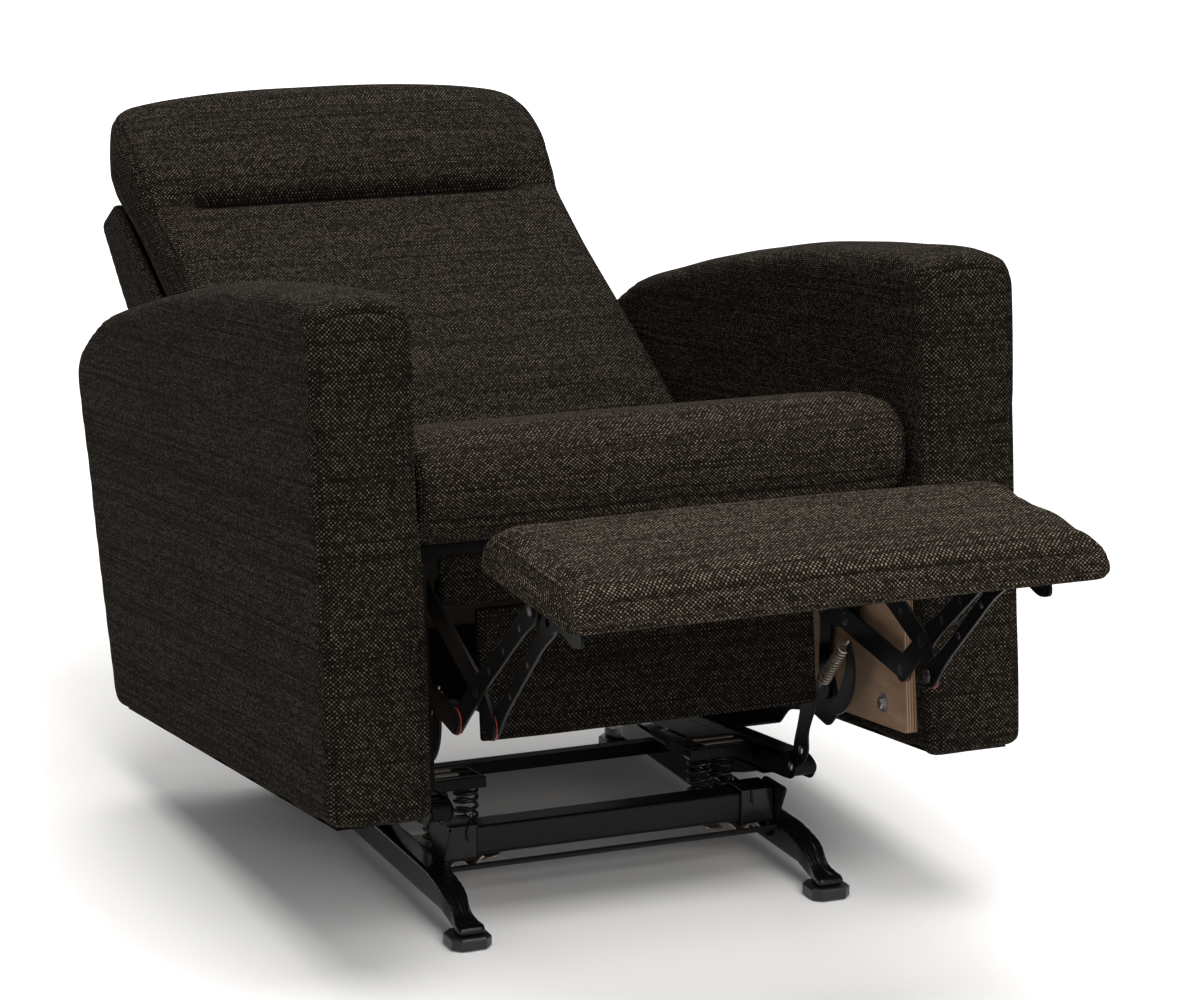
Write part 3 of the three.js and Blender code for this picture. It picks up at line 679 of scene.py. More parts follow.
# ---- Arms ----
def arm(word, side):
    """A boxy arm: flat padded sides, a crown that arches across, and a front panel set in by a seam."""
    middle, half = (ARM_INNER + ARM_OUTER) / 2, (ARM_OUTER - ARM_INNER) / 2
    piece = prism(f"arm_upholstery_{word}", ARM_OUTLINE, ARM_INNER - 1, ARM_OUTER + 1)
    soften(piece, 8.2, 3)

    def arch(x, y, z):
        t = (x - middle) / half
        crown = smooth_step(z, 560, 640) + smooth_step(y, 400, 520) * smooth_step(z, 440, 560)
        drop = -9.0 * np.clip(crown, 0, 1) * t ** 2
        puff = 1.2 * np.sign(t) * smooth_step(np.abs(t), 0.7, 0.95) * smooth_step(z, 150, 260)
        hem = (1.5 * np.sin(y / 19.0) + 0.5 * np.sin(y / 7.3 + 1)) * (1 - smooth_step(z, 142, 165))
        hem -= 5.0 * np.exp(-((y + 352) / 14) ** 2) * (1 - smooth_step(z, 142, 175)) * (0.5 - 0.5 * t)
        inner_front = smooth_step(-t, 0.5, 0.95) * (1 - smooth_step(y, -362, -335))
        puff -= 3.0 * inner_front * (1 - smooth_step(z, 400, 460))
        front = -3.0 * (1 - t ** 2) * (1 - smooth_step(y, -370, -340))
        return puff, front, drop + hem

    shift(piece, arch)
    refined(piece)
    swell(piece, ripple(points_of(piece), 90.0, 3) * 0.9)
    front = -378
    top = [(middle + half * 0.9 * math.sin(a), front - 2, 657 + 13 * math.cos(a * 0.95))
           for a in np.linspace(-math.pi / 2, math.pi / 2, 15)]
    sides = [[(middle + s * half * 0.9, front, 140), (middle + s * half * 0.9, front - 2, 658)]
             for s in (-1, 1)]
    sew(piece, [top], 3.6, 3.6, 0.95)
    sew(piece, sides, 1.4, 3.6, 0.35)
    rear = [[(middle + s * half * 0.82, 450 + (z - 140) * 0.223, z) for z in range(150, 561, 40)]
            for s in (-1, 1)]
    sew(piece, rear, 2.0, 4.0)
    upholster(piece, ARM_OUTLINE, CHAIR, TWEED, "chair_frame", f"arm_cover_{word}", side)


def arm_underside(word, side):
    """Black cloth over the open bottom of the arm, inside the turned-in hem."""
    across = (ARM_INNER + 12, ARM_OUTER - 12)
    cloth = block(f"arm_underside_cloth_{word}", across, (-355, 432), (137.5, 139), 0.4)
    finished(turned_over(cloth, side), CHAIR, DUST_CLOTH_AND_SHADE, "chair_frame", smooth=False)


for word, side in SIDES:
    arm(word, side)
    arm_underside(word, side)

# ---- Seat cushion ----
SEAT_OUTLINE = [
    (-304, DECK_TOP + 3, 10), (148, DECK_TOP + 3, 12), (143, 480, 14), (-73, 504, 70),
    (-240, 526, 60), (-334, 530, 34), (-362, 503, 20), (-363, 460, 16), (-338, 436, 12),
]
SEAT_FULL, SEAT_REAR = 286.5, 152        # where the stuffed cushion stops against the arms and the back
SEAT_SIDE_SEAM = ((-362, 452), (-366, 490), (-345, 522), (-250, 524), (-60, 500), (140, 478))


def seat_cushion():
    piece = prism("seat_cushion_cover", SEAT_OUTLINE, -SEAT_HALF, SEAT_HALF)
    soften(piece, 7.0, 3)
    stuffed(piece, 8.0)
    co = points_of(piece)
    co[:, 2] = np.maximum(co[:, 2], DECK_TOP + 1.5)
    co[:, 1] = np.minimum(co[:, 1], SEAT_REAR)
    co[:, 0] *= SEAT_FULL / np.abs(co[:, 0]).max()
    set_points(piece, co)
    refined(piece, 3)
    lines = [[(s * 283, y, z) for y, z in SEAT_SIDE_SEAM] for s in (-1, 1)]
    lines.append([(x, -344, 441) for x in (-280, 280)])
    sew(piece, lines, 2.2, 4.0)
    upholster(piece, SEAT_OUTLINE, CHAIR, LIT_SEAT_TWEED, "seat_frame", "seat_cushion")


seat_cushion()

# ---- Back cushion ----
TUCK_ALONG, TUCK_HALF = 462, 205        # the headrest tuck: its place up the back and its half width
BACK_OUTLINE = [
    (-36, -60, 14), (340, -61, 60), (585, -56, 24), (618, -38, 22), (648, 2, 20), (630, 24, 20),
    (560, 30, 40), (500, 18, 24), (462, -2, 18), (430, -2, 20), (150, -2, 60), (-36, -8, 18),
]
BACK_EDGE = ((-30, -4), (150, 4), (430, 4), (500, 20), (560, 32), (630, 26), (650, 0))


def back_cushion():
    piece = prism("back_cushion_cover", BACK_OUTLINE, -BACK_HALF + 1, BACK_HALF - 1)
    soften(piece, 7.0, 5)

    def sewn(co):
        x, along, out = co.T
        near = np.exp(-((along - TUCK_ALONG) / 9.0) ** 2) * (out > -30)
        tuck = near * (1 - smooth_step(np.abs(x), TUCK_HALF - 5, TUCK_HALF + 30))
        behind = 1 - smooth_step(out, -56, -40)
        return np.clip(np.maximum(tuck, behind), 0, 1)

    stuffed(piece, 7.0, sewn)
    co = points_of(piece)
    co[:, 2] = np.maximum(co[:, 2], -62.5)
    co[:, 0] = np.clip(co[:, 0], -BACK_HALF - 2, BACK_HALF + 2)
    set_points(piece, co)

    def headrest(x, along, out):
        t = x / BACK_HALF
        high = smooth_step(along, 480, 640)
        bulge = np.exp(-((along - 565) / 60.0) ** 2) * smooth_step(np.abs(t), 0.8, 1.0)
        corner = -16.0 * smooth_step(np.abs(t), 0.84, 1.0) ** 2 * smooth_step(along, 560, 640)
        arch = (13.0 + 42.0 * (1 - np.abs(t) ** 3)) * high
        return 7.0 * bulge * np.sign(t), arch + corner, (4.0 - 8.0 * t ** 2) * high

    shift(piece, headrest)

    def tuck(x, along, out):
        ends = 1 - smooth_step(np.abs(x), TUCK_HALF - 12, TUCK_HALF + 26)
        front = smooth_step(out, -30, -12)
        fold = np.exp(-((along - TUCK_ALONG) / 10.0) ** 2)
        over = np.exp(-((along - TUCK_ALONG - 16) / 12.0) ** 2)
        zero = np.zeros_like(x)
        return zero, -7.0 * over * ends * front, (-16.0 * fold * ends + 3.0 * over * ends) * front

    shift(piece, tuck)
    refined(piece, 2)
    # painted shade: the fold of the headrest tuck is darkened along this line
    seam = [(x, TUCK_ALONG, -12) for x in (-TUCK_HALF, TUCK_HALF)]
    paint_seam_shade(piece, np.exp(-(to_line(points_of(piece), seam) / 10.0) ** 2) * 0.95)
    faint = [[(s * TUCK_HALF, TUCK_ALONG, 3), (s * BACK_HALF, TUCK_ALONG - 3, 0)] for s in (-1, 1)]
    sew(piece, faint, 0.8, 3.5)
    edges = [[(s * 276, along, out) for along, out in BACK_EDGE] for s in (-1, 1)]
    sew(piece, edges, 1.2, 4.0)
    upholster(piece, BACK_OUTLINE, BACK, TWEED, "back", "back_cushion")


back_cushion()

# ---- Outside back ----
SHELL_OUTLINE = [(-20, -166, 10), (440, -164, 60), (602, -126, 14), (560, -64, 6), (-20, -64, 4)]
SHELL_HOLLOW = [(2, -150, 4), (437, -149, 40), (580, -116, 10), (548, -40, 6), (2, -40, 4)]
SHELL_HALF, SHELL_ROOM = 287, 273


def outside_back():
    """The board-backed cover: two side wings and a rear panel, sewn along the rear edges."""
    piece = prism("back_shell_cover", SHELL_OUTLINE, -SHELL_HALF, SHELL_HALF, 8)
    cut_out(piece, prism("hollow", SHELL_HOLLOW, -SHELL_ROOM, SHELL_ROOM, 8))
    soften(piece, 4.0, 5)
    seams = [[(s * 279, -12, -166), (s * 279, 430, -164), (s * 279, 596, -128)] for s in (-1, 1)]
    seams.append([(-279, 596, -124), (279, 596, -124)])
    sew(piece, seams, 1.8, 4.0)
    upholster(piece, SHELL_OUTLINE, BACK, TWEED, "back", "back_shell")


outside_back()

# ---- Footrest ----
PAD_OUTLINE = [
    (-162, 20, 10), (60, 20, 6), (69, 30, 8), (67, 66, 16), (16, 71, 30), (-116, 69, 36), (-176, 60, 12),
    (-186, 30, 10),
]
PAD_FULL = 288.5        # half the stuffed pad's width


def footrest_pad():
    piece = prism("footrest_pad_cover", PAD_OUTLINE, -OTTOMAN_HALF, OTTOMAN_HALF)
    soften(piece, 6.0, 5)
    stuffed(piece, 5.0, lambda co: 1 - smooth_step(co[:, 2], 22, 30))
    co = points_of(piece)
    co[:, 0] *= PAD_FULL / np.abs(co[:, 0]).max()
    set_points(piece, co)
    refined(piece, 3)

    def crown(x, back, up):
        t = np.abs(x) / PAD_FULL
        top = smooth_step(up, 36, 62)
        end = smooth_step(t, 0.86, 1.0)
        corner = 3.0 * np.sign(x) * smooth_step(back, 25, 68) * end
        return corner, np.zeros_like(x), (6.0 * (1 - t ** 2) - 7.0 * end ** 2) * top

    shift(piece, crown)
    sew(piece, [[(x, -178, 60) for x in range(-272, 273, 16)]], 1.2, 3.6)
    return upholster(piece, PAD_OUTLINE, OTTOMAN, LIT_TOP_TWEED, "ottoman", "ottoman_pad")


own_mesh(footrest_pad())


# ---- Covered rails ----
def covered_board(name, x, y, z, body, node):
    """A board wrapped in the tweed, in its darker copy that paints the shade under the seat."""
    piece = block(name, x, y, z)
    soften(piece, 4.0, 3)
    swell(piece, ripple(points_of(piece), 70.0, 5) * 0.8 + 0.4)
    refined(piece, 1)
    weave_on(piece)
    finished(piece, CHAIR, SHADED_TWEED, body)
    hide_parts(node)


covered_board("front_panel_cover", (-197, 197), (-280, -268), (195, 340), "chair_frame", "front_panel")
covered_board("seat_front_rail_cover", (-241, 241), (-292, -270), (345, 403), "seat_frame", "seat_front_rail")

# ---- Finish on the pieces that keep their CAD shape ----
CAD_LOOKS = {
    "black_steel": BLACK_STEEL, "zinc_steel": ZINC, "spring_steel": SPRING_WIRE, "plywood": PLYWOOD,
    "hardwood": DARK_TIMBER, "glide_plastic": GLIDE, "fabric": TWEED, "panel_fabric": SHADED_TWEED,
}
BASE_TUBES = ("base_front_tube", "base_rear_tube", "base_front_rod")
HARD_SLOTS = ("black_steel", "zinc_steel", "plywood", "hardwood", "glide_plastic")
WELD_GAP, EASED_EDGE = 0.00002, 0.0006        # metres
for part in frame["record"]["subparts"]:
    node = frame["nodes"][part["node"]]
    look = CAD_LOOKS[part["material_slot"]]
    if look is BLACK_STEEL:
        look = SATIN_STEEL if part["node"] in BASE_TUBES else LINK_STEEL
    for slot in node.material_slots:
        slot.material = look
    if part["material_slot"] in HARD_SLOTS:
        node.modifiers.new("weld", "WELD").merge_threshold = WELD_GAP
        set_all(node.modifiers.new("edge", "BEVEL"), width=EASED_EDGE, segments=2,
                limit_method="ANGLE", angle_limit=math.radians(40))


# ---- Rocker springs ----
def coil(name, radius, wire, turns, z0, z1, at, steps=26):
    """A closed-end compression coil standing on Z."""
    count = turns * steps
    path = []
    for i in range(count + 1):
        t = i / count
        rise = 0.35 * float(smooth_step(t, 0, 1)) + 0.65 * t
        a = 2 * math.pi * i / steps
        path.append((at[0] + radius * math.cos(a), at[1] + radius * math.sin(a), z0 + (z1 - z0) * rise))
    return tube(name, path, wire, 8)


for word, side in SIDES:
    for kind, (x, y) in zip(("inner", "outer"), SPRINGS):
        spring = coil(f"rocker_spring_{kind}_{word}", 12.5, 2.3, 6, 51.0, 109.0, (side * x, y))
        finished(spring, FLOOR, SPRING_WIRE, "base")
        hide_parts(f"{kind}_coil_spring_{word}")
        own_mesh(spring)


# ---- Seat springs under the cushion ----
def zigzag(x, y0, y1, half, pitch, z):
    """The path of a sinuous spring: straight runs across joined by round bends."""
    path = []
    steps = 5
    for i in range(int((y1 - y0) / pitch)):
        way = 1 if i % 2 else -1
        middle = y0 + (i + 0.5) * pitch
        for k in range(steps + 1):
            angle = math.pi * (k / steps - 0.5)
            out = half - pitch / 2 + pitch / 2 * math.cos(angle)
            path.append((x + way * out, middle + pitch / 2 * math.sin(angle), z))
    return path


def seat_deck():
    """A timber frame with sinuous wires across it and a felt pad on top."""
    half, y0, y1, z0, z1 = 262, -292, 150, 404, DECK_TOP
    rails = [block("rail", x, y, (z0, z1 - 1), 1.0) for x, y in (
        ((-half, half), (y1 - 28, y1)),
        ((-half, 26 - half), (y0 + 16, y1 - 28.5)),
        ((half - 26, half), (y0 + 16, y1 - 28.5)),
    )]
    timbers = joined("seat_deck_timber", rails)
    finished(timbers, CHAIR, TIMBER, "seat_frame", smooth=False)
    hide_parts("seat_deck")
    # painted shade: a black cloth band along the deck's front and black flaps and strips at its sides fill
    # the gaps between the cushion, the front rail and the arms, where deep shade falls
    cloth = [block("edge", (-271, 271), (y0, y0 + 15.5), (z0 - 4, z1 + 3), 2.0, 3)]
    for _, side in SIDES:
        cloth.append(block("flap", sorted((side * 266, side * 273)), (y0 + 1, y0 + 2.4), (330, z0)))
        cloth.append(block("strip", sorted((side * 243, side * 273)), (y0 - 0.6, y0 + 0.6), (376, z0)))
    finished(joined("seat_deck_front_painted_shade", cloth), CHAIR, DUST_CLOTH_AND_SHADE, "seat_frame")
    felt = block("seat_felt_pad", (-271, 271), (y0 + 16, y1), (z1 - 0.8, z1 + 1.0))
    finished(felt, CHAIR, DUST_CLOTH_AND_SHADE, "seat_frame", smooth=False)
    wires = [tube("wire", zigzag(x, y0 + 10, y1 - 16, 22, 19, z0 + 5), 1.9, 6)
             for x in np.linspace(-195, 195, 6)]
    finished(joined("seat_sinuous_wires", wires), CHAIR, SINUOUS_WIRE, "seat_frame")


seat_deck()


# ---- Rivets, washers and bolts ----
def layer(k):
    """The inner and outer face of one layer of the mechanism."""
    inner = LAYER_START + k * LAYER_PITCH
    return inner, inner + PLATE


def dome(name, at, x, way, radius, height, side=1):
    """A rivet head standing out from a plate at x, towards way."""
    profile = [(x, 0), (x, radius)]
    for k in range(1, 5):
        angle = math.pi / 2 * k / 5
        profile.append((x + way * height * math.sin(angle), radius * math.cos(angle)))
    return lathe_x(name, [*profile, (x + way * height, 0)], at, 18, side)


def disc(name, x0, x1, radius, at, sides, side=1):
    """A round plate or pin between two faces."""
    return lathe_x(name, [(x0, 0), (x0, radius), (x1, radius), (x1, 0)], at, sides, side)


def swing_top(foot):
    return (foot[0] - SWING_LENGTH * math.sin(SWING_LEAN), foot[1] + SWING_LENGTH * math.cos(SWING_LEAN))


def row(a, b, shares, face, way, radius, height):
    """Rivets at these shares of the way between two pivots."""
    return [((a[0] + (b[0] - a[0]) * t, a[1] + (b[1] - a[1]) * t), face, way, radius, height) for t in shares]


FLUSH = 0.4       # rivet heads between two layers of links stay inside the gap between them
RIVETS = {        # body: (pivot, face, way out of it, radius, height)
    "seat_frame": [
        (DRIVE_PIVOT, layer(0)[0] + 1, -1, 8.0, 3.2), (REAR_PIVOT, layer(3)[0], -1, 8.0, FLUSH),
        (BACK_PIVOT, layer(3)[0], -1, 8.5, 3.2), (swing_top(FRONT_SWING_FOOT), layer(4)[0], -1, 7.0, 2.8),
        (swing_top(REAR_SWING_FOOT), layer(4)[0], -1, 7.0, 2.8),
        *[(at, layer(4)[0], -1, 5.0, 2.0) for at in ((-60, 330), (20, 345), (-200, 320))],
    ],
    "drive_links": [
        (CROSS_PIVOT, layer(1)[0], -1, 8.0, FLUSH), (CROSS_PIVOT, layer(2)[1], 1, 7.0, FLUSH),
        (UPPER_LINK_HEEL, layer(0)[0] - 2.5, -1, 7.5, 2.6),
        *row(DRIVE_PIVOT, CROSS_PIVOT, (0.35, 0.7), layer(1)[0], -1, 4.5, FLUSH),
    ],
    "long_links": [
        (LONG_LINK_HEEL, layer(2)[0], -1, 7.0, FLUSH),
        *row(CROSS_PIVOT, OTTOMAN_REAR, (0.25, 0.5, 0.78), layer(2)[0], -1, 4.0, FLUSH),
        *row(CROSS_PIVOT, OTTOMAN_REAR, (0.25, 0.5, 0.78), layer(2)[1], 1, 4.0, FLUSH),
    ],
    "upper_links": [
        (OTTOMAN_FRONT, layer(0)[0] - 2, -1, 7.5, 2.6),
        *row(UPPER_LINK_HEEL, OTTOMAN_FRONT, (0.4, 0.7), layer(0)[0], -1, 4.0, 1.6),
        *row(UPPER_LINK_HEEL, OTTOMAN_FRONT, (0.3, 0.6), layer(0)[1], 1, 4.0, FLUSH),
    ],
    "ottoman": [(OTTOMAN_REAR, layer(2)[1] + 2.5, 1, 7.5, 2.4), (OTTOMAN_REAR, layer(1)[0], -1, 7.5, 1.6)],
    "chair_frame": [
        (FRONT_SWING_FOOT, layer(5)[0], -1, 7.0, FLUSH), (REAR_SWING_FOOT, layer(5)[0], -1, 7.0, FLUSH),
        *[(at, layer(6)[0], -1, 5.0, 2.0) for at in ((-60, 153), (40, 142), (180, 142))],
    ],
}
for body, rivets in RIVETS.items():
    for word, side in SIDES:
        heads = [dome("head", at, x, way, radius, height, side) for at, x, way, radius, height in rivets]
        finished(joined(f"{body}_rivets_{word}", heads), CHAIR, RIVET, body)


def pressed(name, parts, side, place, steel, body, bevel, segments=2):
    """Sheet steel parts with eased edges as one piece."""
    piece = turned_over(crisp(joined(name, parts), bevel, segments), side)
    return finished(piece, place, steel, body, smooth=False)


PIVOT_REACH = 26.0        # how far a link's round end runs into its narrow middle


def waisted(name, a, b, ends, waist, x0, x1):
    """A flat link between two pivots, wide round each and narrower between."""
    a, b = Vector(a), Vector(b)
    length = (b - a).length
    along = (b - a) / length
    across = Vector((-along.y, along.x))
    edge = []
    for t in (length * k / 20 for k in range(21)):
        near = max(math.exp(-(t / PIVOT_REACH) ** 2), math.exp(-((length - t) / PIVOT_REACH) ** 2))
        edge.append((t, waist + (ends - waist) * near))
    turn = [along * ends * math.sin(angle) + across * ends * math.cos(angle)
            for angle in np.linspace(0.2, math.pi - 0.2, 9)]
    ring = [a + along * t + across * w for t, w in edge] + [b + p for p in turn]
    ring += [a + along * t - across * w for t, w in reversed(edge)] + [a - p for p in turn]
    return slab(name, ring, x0, x1)


def shaped_links(word, side):
    """The long and the upper link, waisted so that daylight shows between them."""
    x0, x1 = layer(2)
    front = waisted("front", CROSS_PIVOT, OTTOMAN_REAR, 13.5, 10.5, x0, x1)
    heel = waisted("heel", LONG_LINK_HEEL, CROSS_PIVOT, 13.5, 12.5, x0 + 0.1, x1 - 0.1)
    piece = pressed(f"long_link_pressed_{word}", [front, heel], side, CHAIR, LINK_STEEL, "long_links", 0.6)
    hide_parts(f"long_link_{word}")
    x0, x1 = layer(0)
    bar = waisted("bar", UPPER_LINK_HEEL, OTTOMAN_FRONT, 13.5, 8.0, x0, x1)
    pin = disc("pin", x0 - 2, x0 + 0.5, 8, OTTOMAN_FRONT, 24)
    piece = pressed(f"upper_link_pressed_{word}", [bar, pin], side, CHAIR, LINK_STEEL, "upper_links", 0.6)
    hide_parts(f"upper_link_{word}")


WASHER_RADIUS = 14.6


def washers(word, side):
    """Red nylon rings in the gaps beside two of the pivots."""
    for name, at, k, hole, body in (("heel_washer", LONG_LINK_HEEL, 2, 7.0, "rear_links"),
                                    ("upper_washer", UPPER_LINK_HEEL, 0, 5.0, "drive_links")):
        x0, x1 = layer(k)[1] + 0.05, layer(k + 1)[0] - 0.05
        profile = [(x0, hole), (x0, WASHER_RADIUS), (x1, WASHER_RADIUS), (x1, hole), (x0, hole)]
        finished(lathe_x(f"{name}_{word}", profile, at, 28, side), CHAIR, RED_NYLON, body)


for word, side in SIDES:
    shaped_links(word, side)
    washers(word, side)


def panel_bolts(word, side):
    """Zinc bolts with washers through the plywood, heads inwards."""
    x = PLY[0]
    head = [(x - 1.7, 0), (x - 1.7, 6.6), (x - 5.4, 6.6), (x - 6.2, 5.6), (x - 6.2, 0)]
    parts = []
    for at in ((-287, 188), (120, 236), (330, 236)):
        parts += [disc("washer", x, x - 1.6, 10, at, 28, side), lathe_x("head", head, at, 6, side)]
    finished(joined(f"panel_bolts_{word}", parts), CHAIR, SILVER, "chair_frame", smooth=False)


def return_spring(word, side):
    """An extension spring beside the seat plate, with its hooks."""
    start, end = Vector((side * 240, -262, 250)), Vector((side * 240, -205, 204))
    radius, turns, steps = 6.5, 13, 14
    along = (end - start).normalized()
    other = along.cross(X_AXIS)
    path = [start - along * 14, start - along * 5]
    for i in range(turns * steps + 1):
        a = 2 * math.pi * i / steps
        out = (X_AXIS * math.cos(a) + other * math.sin(a)) * radius
        path.append(start.lerp(end, i / (turns * steps)) + out)
    path += [end + along * 5, end + along * 14]
    finished(tube(f"return_spring_{word}", path, 1.5, 6), CHAIR, ZINC, "seat_frame")


def stop_crescent(word, side):
    """A curved steel stop behind the return spring."""
    centre, radius, widest = Vector((-222, 226)), 58, 26
    arc = [math.radians(a) for a in range(146, 290, 8)]
    widths = [widest * math.sin(math.pi * (k + 0.6) / (len(arc) + 0.2)) ** 0.6 for k in range(len(arc))]
    ring = [centre + Vector((math.cos(a), math.sin(a))) * radius for a in arc]
    ring += [centre + Vector((math.cos(a), math.sin(a))) * (radius - w)
             for a, w in zip(reversed(arc), reversed(widths))]
    plate = crisp(slab(f"stop_crescent_{word}", ring, side * 241, side * 244.5, bent=True), 0.8)
    finished(plate, CHAIR, LINK_STEEL, "seat_frame", smooth=False)


# painted shade: a thin black cloth strip over the front edge of the right plywood panel, standing in for the
# shade on that edge behind the arm
ply_edge_shade = block("panel_edge_painted_shade_right", (-PLY[1] - 0.1, -PLY[0] + 0.4), (-341, -340.2), (162, 400.4), 0.2)
finished(ply_edge_shade, CHAIR, DUST_CLOTH_AND_SHADE, "chair_frame", smooth=False)
for word, side in SIDES:
    panel_bolts(word, side)
    return_spring(word, side)
    stop_crescent(word, side)


# ---- Base details ----
def ribbon(name, profile, thickness, y0, y1):
    """A bent sheet strip: an (x, z) profile carried along Y."""
    points = [Vector(p) for p in profile]
    sheet = []
    for i, p in enumerate(points):
        along = (points[min(i + 1, len(points) - 1)] - points[max(i - 1, 0)]).normalized()
        across = Vector((-along.y, along.x)) * thickness / 2
        sheet.append((p + across, p - across))
    loop = [a for a, _ in sheet] + [b for _, b in reversed(sheet)]
    near, far = ([(p[0], y, p[1]) for p in loop] for y in (y0, y1))
    return carried(name, near, far, bent=True)


def wave(x0, x1, z, height, waves, steps=40):
    return [(x0 + (x1 - x0) * i / steps, z - height * 0.5 * (1 - math.cos(2 * math.pi * waves * i / steps)))
            for i in range(steps + 1)]


RAIL = (199, 227)        # inner and outer face
RAIL_OUTLINE = [
    (-268, 14.3, 2), (-230, 14.3, 8), (-210, 26, 14), (-165, 25, 20), (250, 25, 20), (296, 26, 14),
    (316, 14.3, 8), (354, 14.3, 2), (354, 24, 4), (328, 27, 8), (304, 46, 20), (254, 57, 30),
    (-168, 57, 30), (-218, 46, 20), (-242, 27, 8), (-268, 24, 4),
]
FOOT_Y = (-252, 338)        # the front and the rear glide


def base_rail(word, side):
    """A pressed rail whose ends are pinched and creased above the glides."""
    piece = prism(f"base_rail_pressed_{word}", RAIL_OUTLINE, *RAIL, step=6)
    soften(piece, 2.4, 2)
    middle = (RAIL[0] + RAIL[1]) / 2

    def pinch(x, y, z):
        t = (x - middle) / 14
        move_x, move_z = np.zeros_like(x), np.zeros_like(x)
        for foot in FOOT_Y:
            inward = 1 if foot < 0 else -1
            along = (y - foot) * inward
            neck = np.exp(-((along - 20) / 13.0) ** 2)
            crease = np.exp(-((along - 24) / 20.0) ** 2) * np.exp(-((np.abs(t) - 0.45) / 0.22) ** 2)
            ridge = np.exp(-((along - 24) / 24.0) ** 2) * np.exp(-(t / 0.22) ** 2)
            flare = np.exp(-((along + 6) / 10.0) ** 2)
            top = smooth_step(z, 15, 24)
            move_x += 14 * t * (-0.24 * neck + 0.10 * flare)
            move_z += (-4.6 * crease + 1.4 * ridge) * top
        return move_x, np.zeros_like(x), move_z

    shift(piece, pinch)
    modified(piece, "SMOOTH", factor=0.5, iterations=1)
    finished(turned_over(piece, side), FLOOR, BLACK_STEEL, "base")
    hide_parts(f"base_rail_{word}")


END_PLATE = [(-172, 102, 6), (-150, 60, 6), (-122, 57.6, 4), (-102, 84, 8), (-112, 100, 8)]


def end_plate(word, side):
    """A tapered plate that stands on the rail beside the rocker."""
    plate = prism("plate", END_PLATE, 199.4, 202.6, 5)
    pressed(f"end_plate_{word}", [plate], side, FLOOR, BLACK_STEEL, "base", 0.8)


def tube_clasp(word, side):
    """A sleeve round the end of the front tube, with a bead at its mouth, on a plate down to the rail."""
    room_y, room_z = (-139.3, -104.7), (57, 91.3)
    sleeve = block("sleeve", (160, 198.6), (-142, -102), (54.5, 94.5))
    cut_out(sleeve, block("room", (150, 191.3), room_y, room_z))
    plate = prism("plate", [(-140, 56, 4), (-134, 32, 6), (-110, 32, 6), (-104, 56, 4)], 193, 198.6, 4)
    bead = block("bead", (158.6, 160), (-143, -101), (53.5, 95.5))
    cut_out(bead, block("room", (150, 170), room_y, room_z))
    piece = pressed(f"tube_sleeve_{word}", [sleeve, plate, bead], side, FLOOR, BLACK_STEEL, "base", 1.2, 3)
    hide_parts(f"tube_clasp_{word}")


def rocker_side(word, side):
    """The channel over the cam, with a tapered plate and a rolled end at its front."""
    end = [(-120, 121, 6), (-184, 121, 10), (-206, 108, 8), (-190, 92, 8), (-110, 92, 8)]
    far_end = [(-160, 119, 4), (-184, 119, 10), (-204, 107, 8), (-188, 90, 6), (-160, 90, 4)]
    parts = [
        prism("channel", [(-172, 90, 3), (232, 90, 6), (232, 120, 3), (-172, 120, 3)], 206.6, 231, 8),
        prism("lip", [(-168, 114, 2), (230, 114, 2), (230, 122.6, 2), (-168, 122.6, 2)], 203.2, 206.4, 8),
        prism("plate", end, 203.2, 206.4, 5),
        prism("far", far_end, 228, 231, 5),
        disc("roll", 206.4, 228, 11, (-190, 107.5), 20),
    ]
    piece = pressed(f"rocker_side_{word}", parts, side, CHAIR, LINK_STEEL, "chair_frame", 0.9)
    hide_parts(f"side_rail_{word}")


WALL = [
    (-176, 158, 8), (-150, 138, 10), (-104, 150, 16), (-44, 142, 12), (-16, 120.3, 4), (238, 120.3, 4),
    (238, 165, 20), (128, 202, 16), (92, 202, 16), (60, 165, 20), (-100, 166, 20), (-134, 202, 16),
    (-168, 202, 16),
]
HOOK = [
    (-188, 112, 5), (-212, 112, 6), (-228, 130, 10), (-226, 150, 10), (-250, 186, 8), (-252, 203, 4),
    (-222, 203, 4), (-204, 158, 12), (-192, 136, 10),
]


def mechanism_wall(word, side):
    """The pressed plate that carries the swing links, and its shelf. The left one has a hook at its front."""
    parts = [prism("wall", WALL, *layer(6), 5), block("shelf", (203, 273), (-14, 232), (120.4, 123.7))]
    parts += [disc("foot", layer(5)[0] - 1, layer(6)[0], 4.6, at, 16)
              for at in (FRONT_SWING_FOOT, REAR_SWING_FOOT)]
    heads = [dome("head", (-190, 108), 203.2, -1, 5.5, 2.4)]
    if side > 0:
        parts.append(prism("hook", HOOK, 206.8, 210, 5))
        parts.append(block("strip", (126, 210), (-250, -228), (200.6, 203.4)))
        heads.insert(0, dome("head", (-211, 130), 206.8, -1, 5.5, 2.4))
    piece = pressed(f"mechanism_wall_{word}", parts, side, CHAIR, LINK_STEEL, "chair_frame", 0.7)
    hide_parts(f"mechanism_plate_{word}")
    rivets = turned_over(joined(f"hook_rivets_{word}", heads), side)
    finished(rivets, CHAIR, SILVER, "chair_frame")


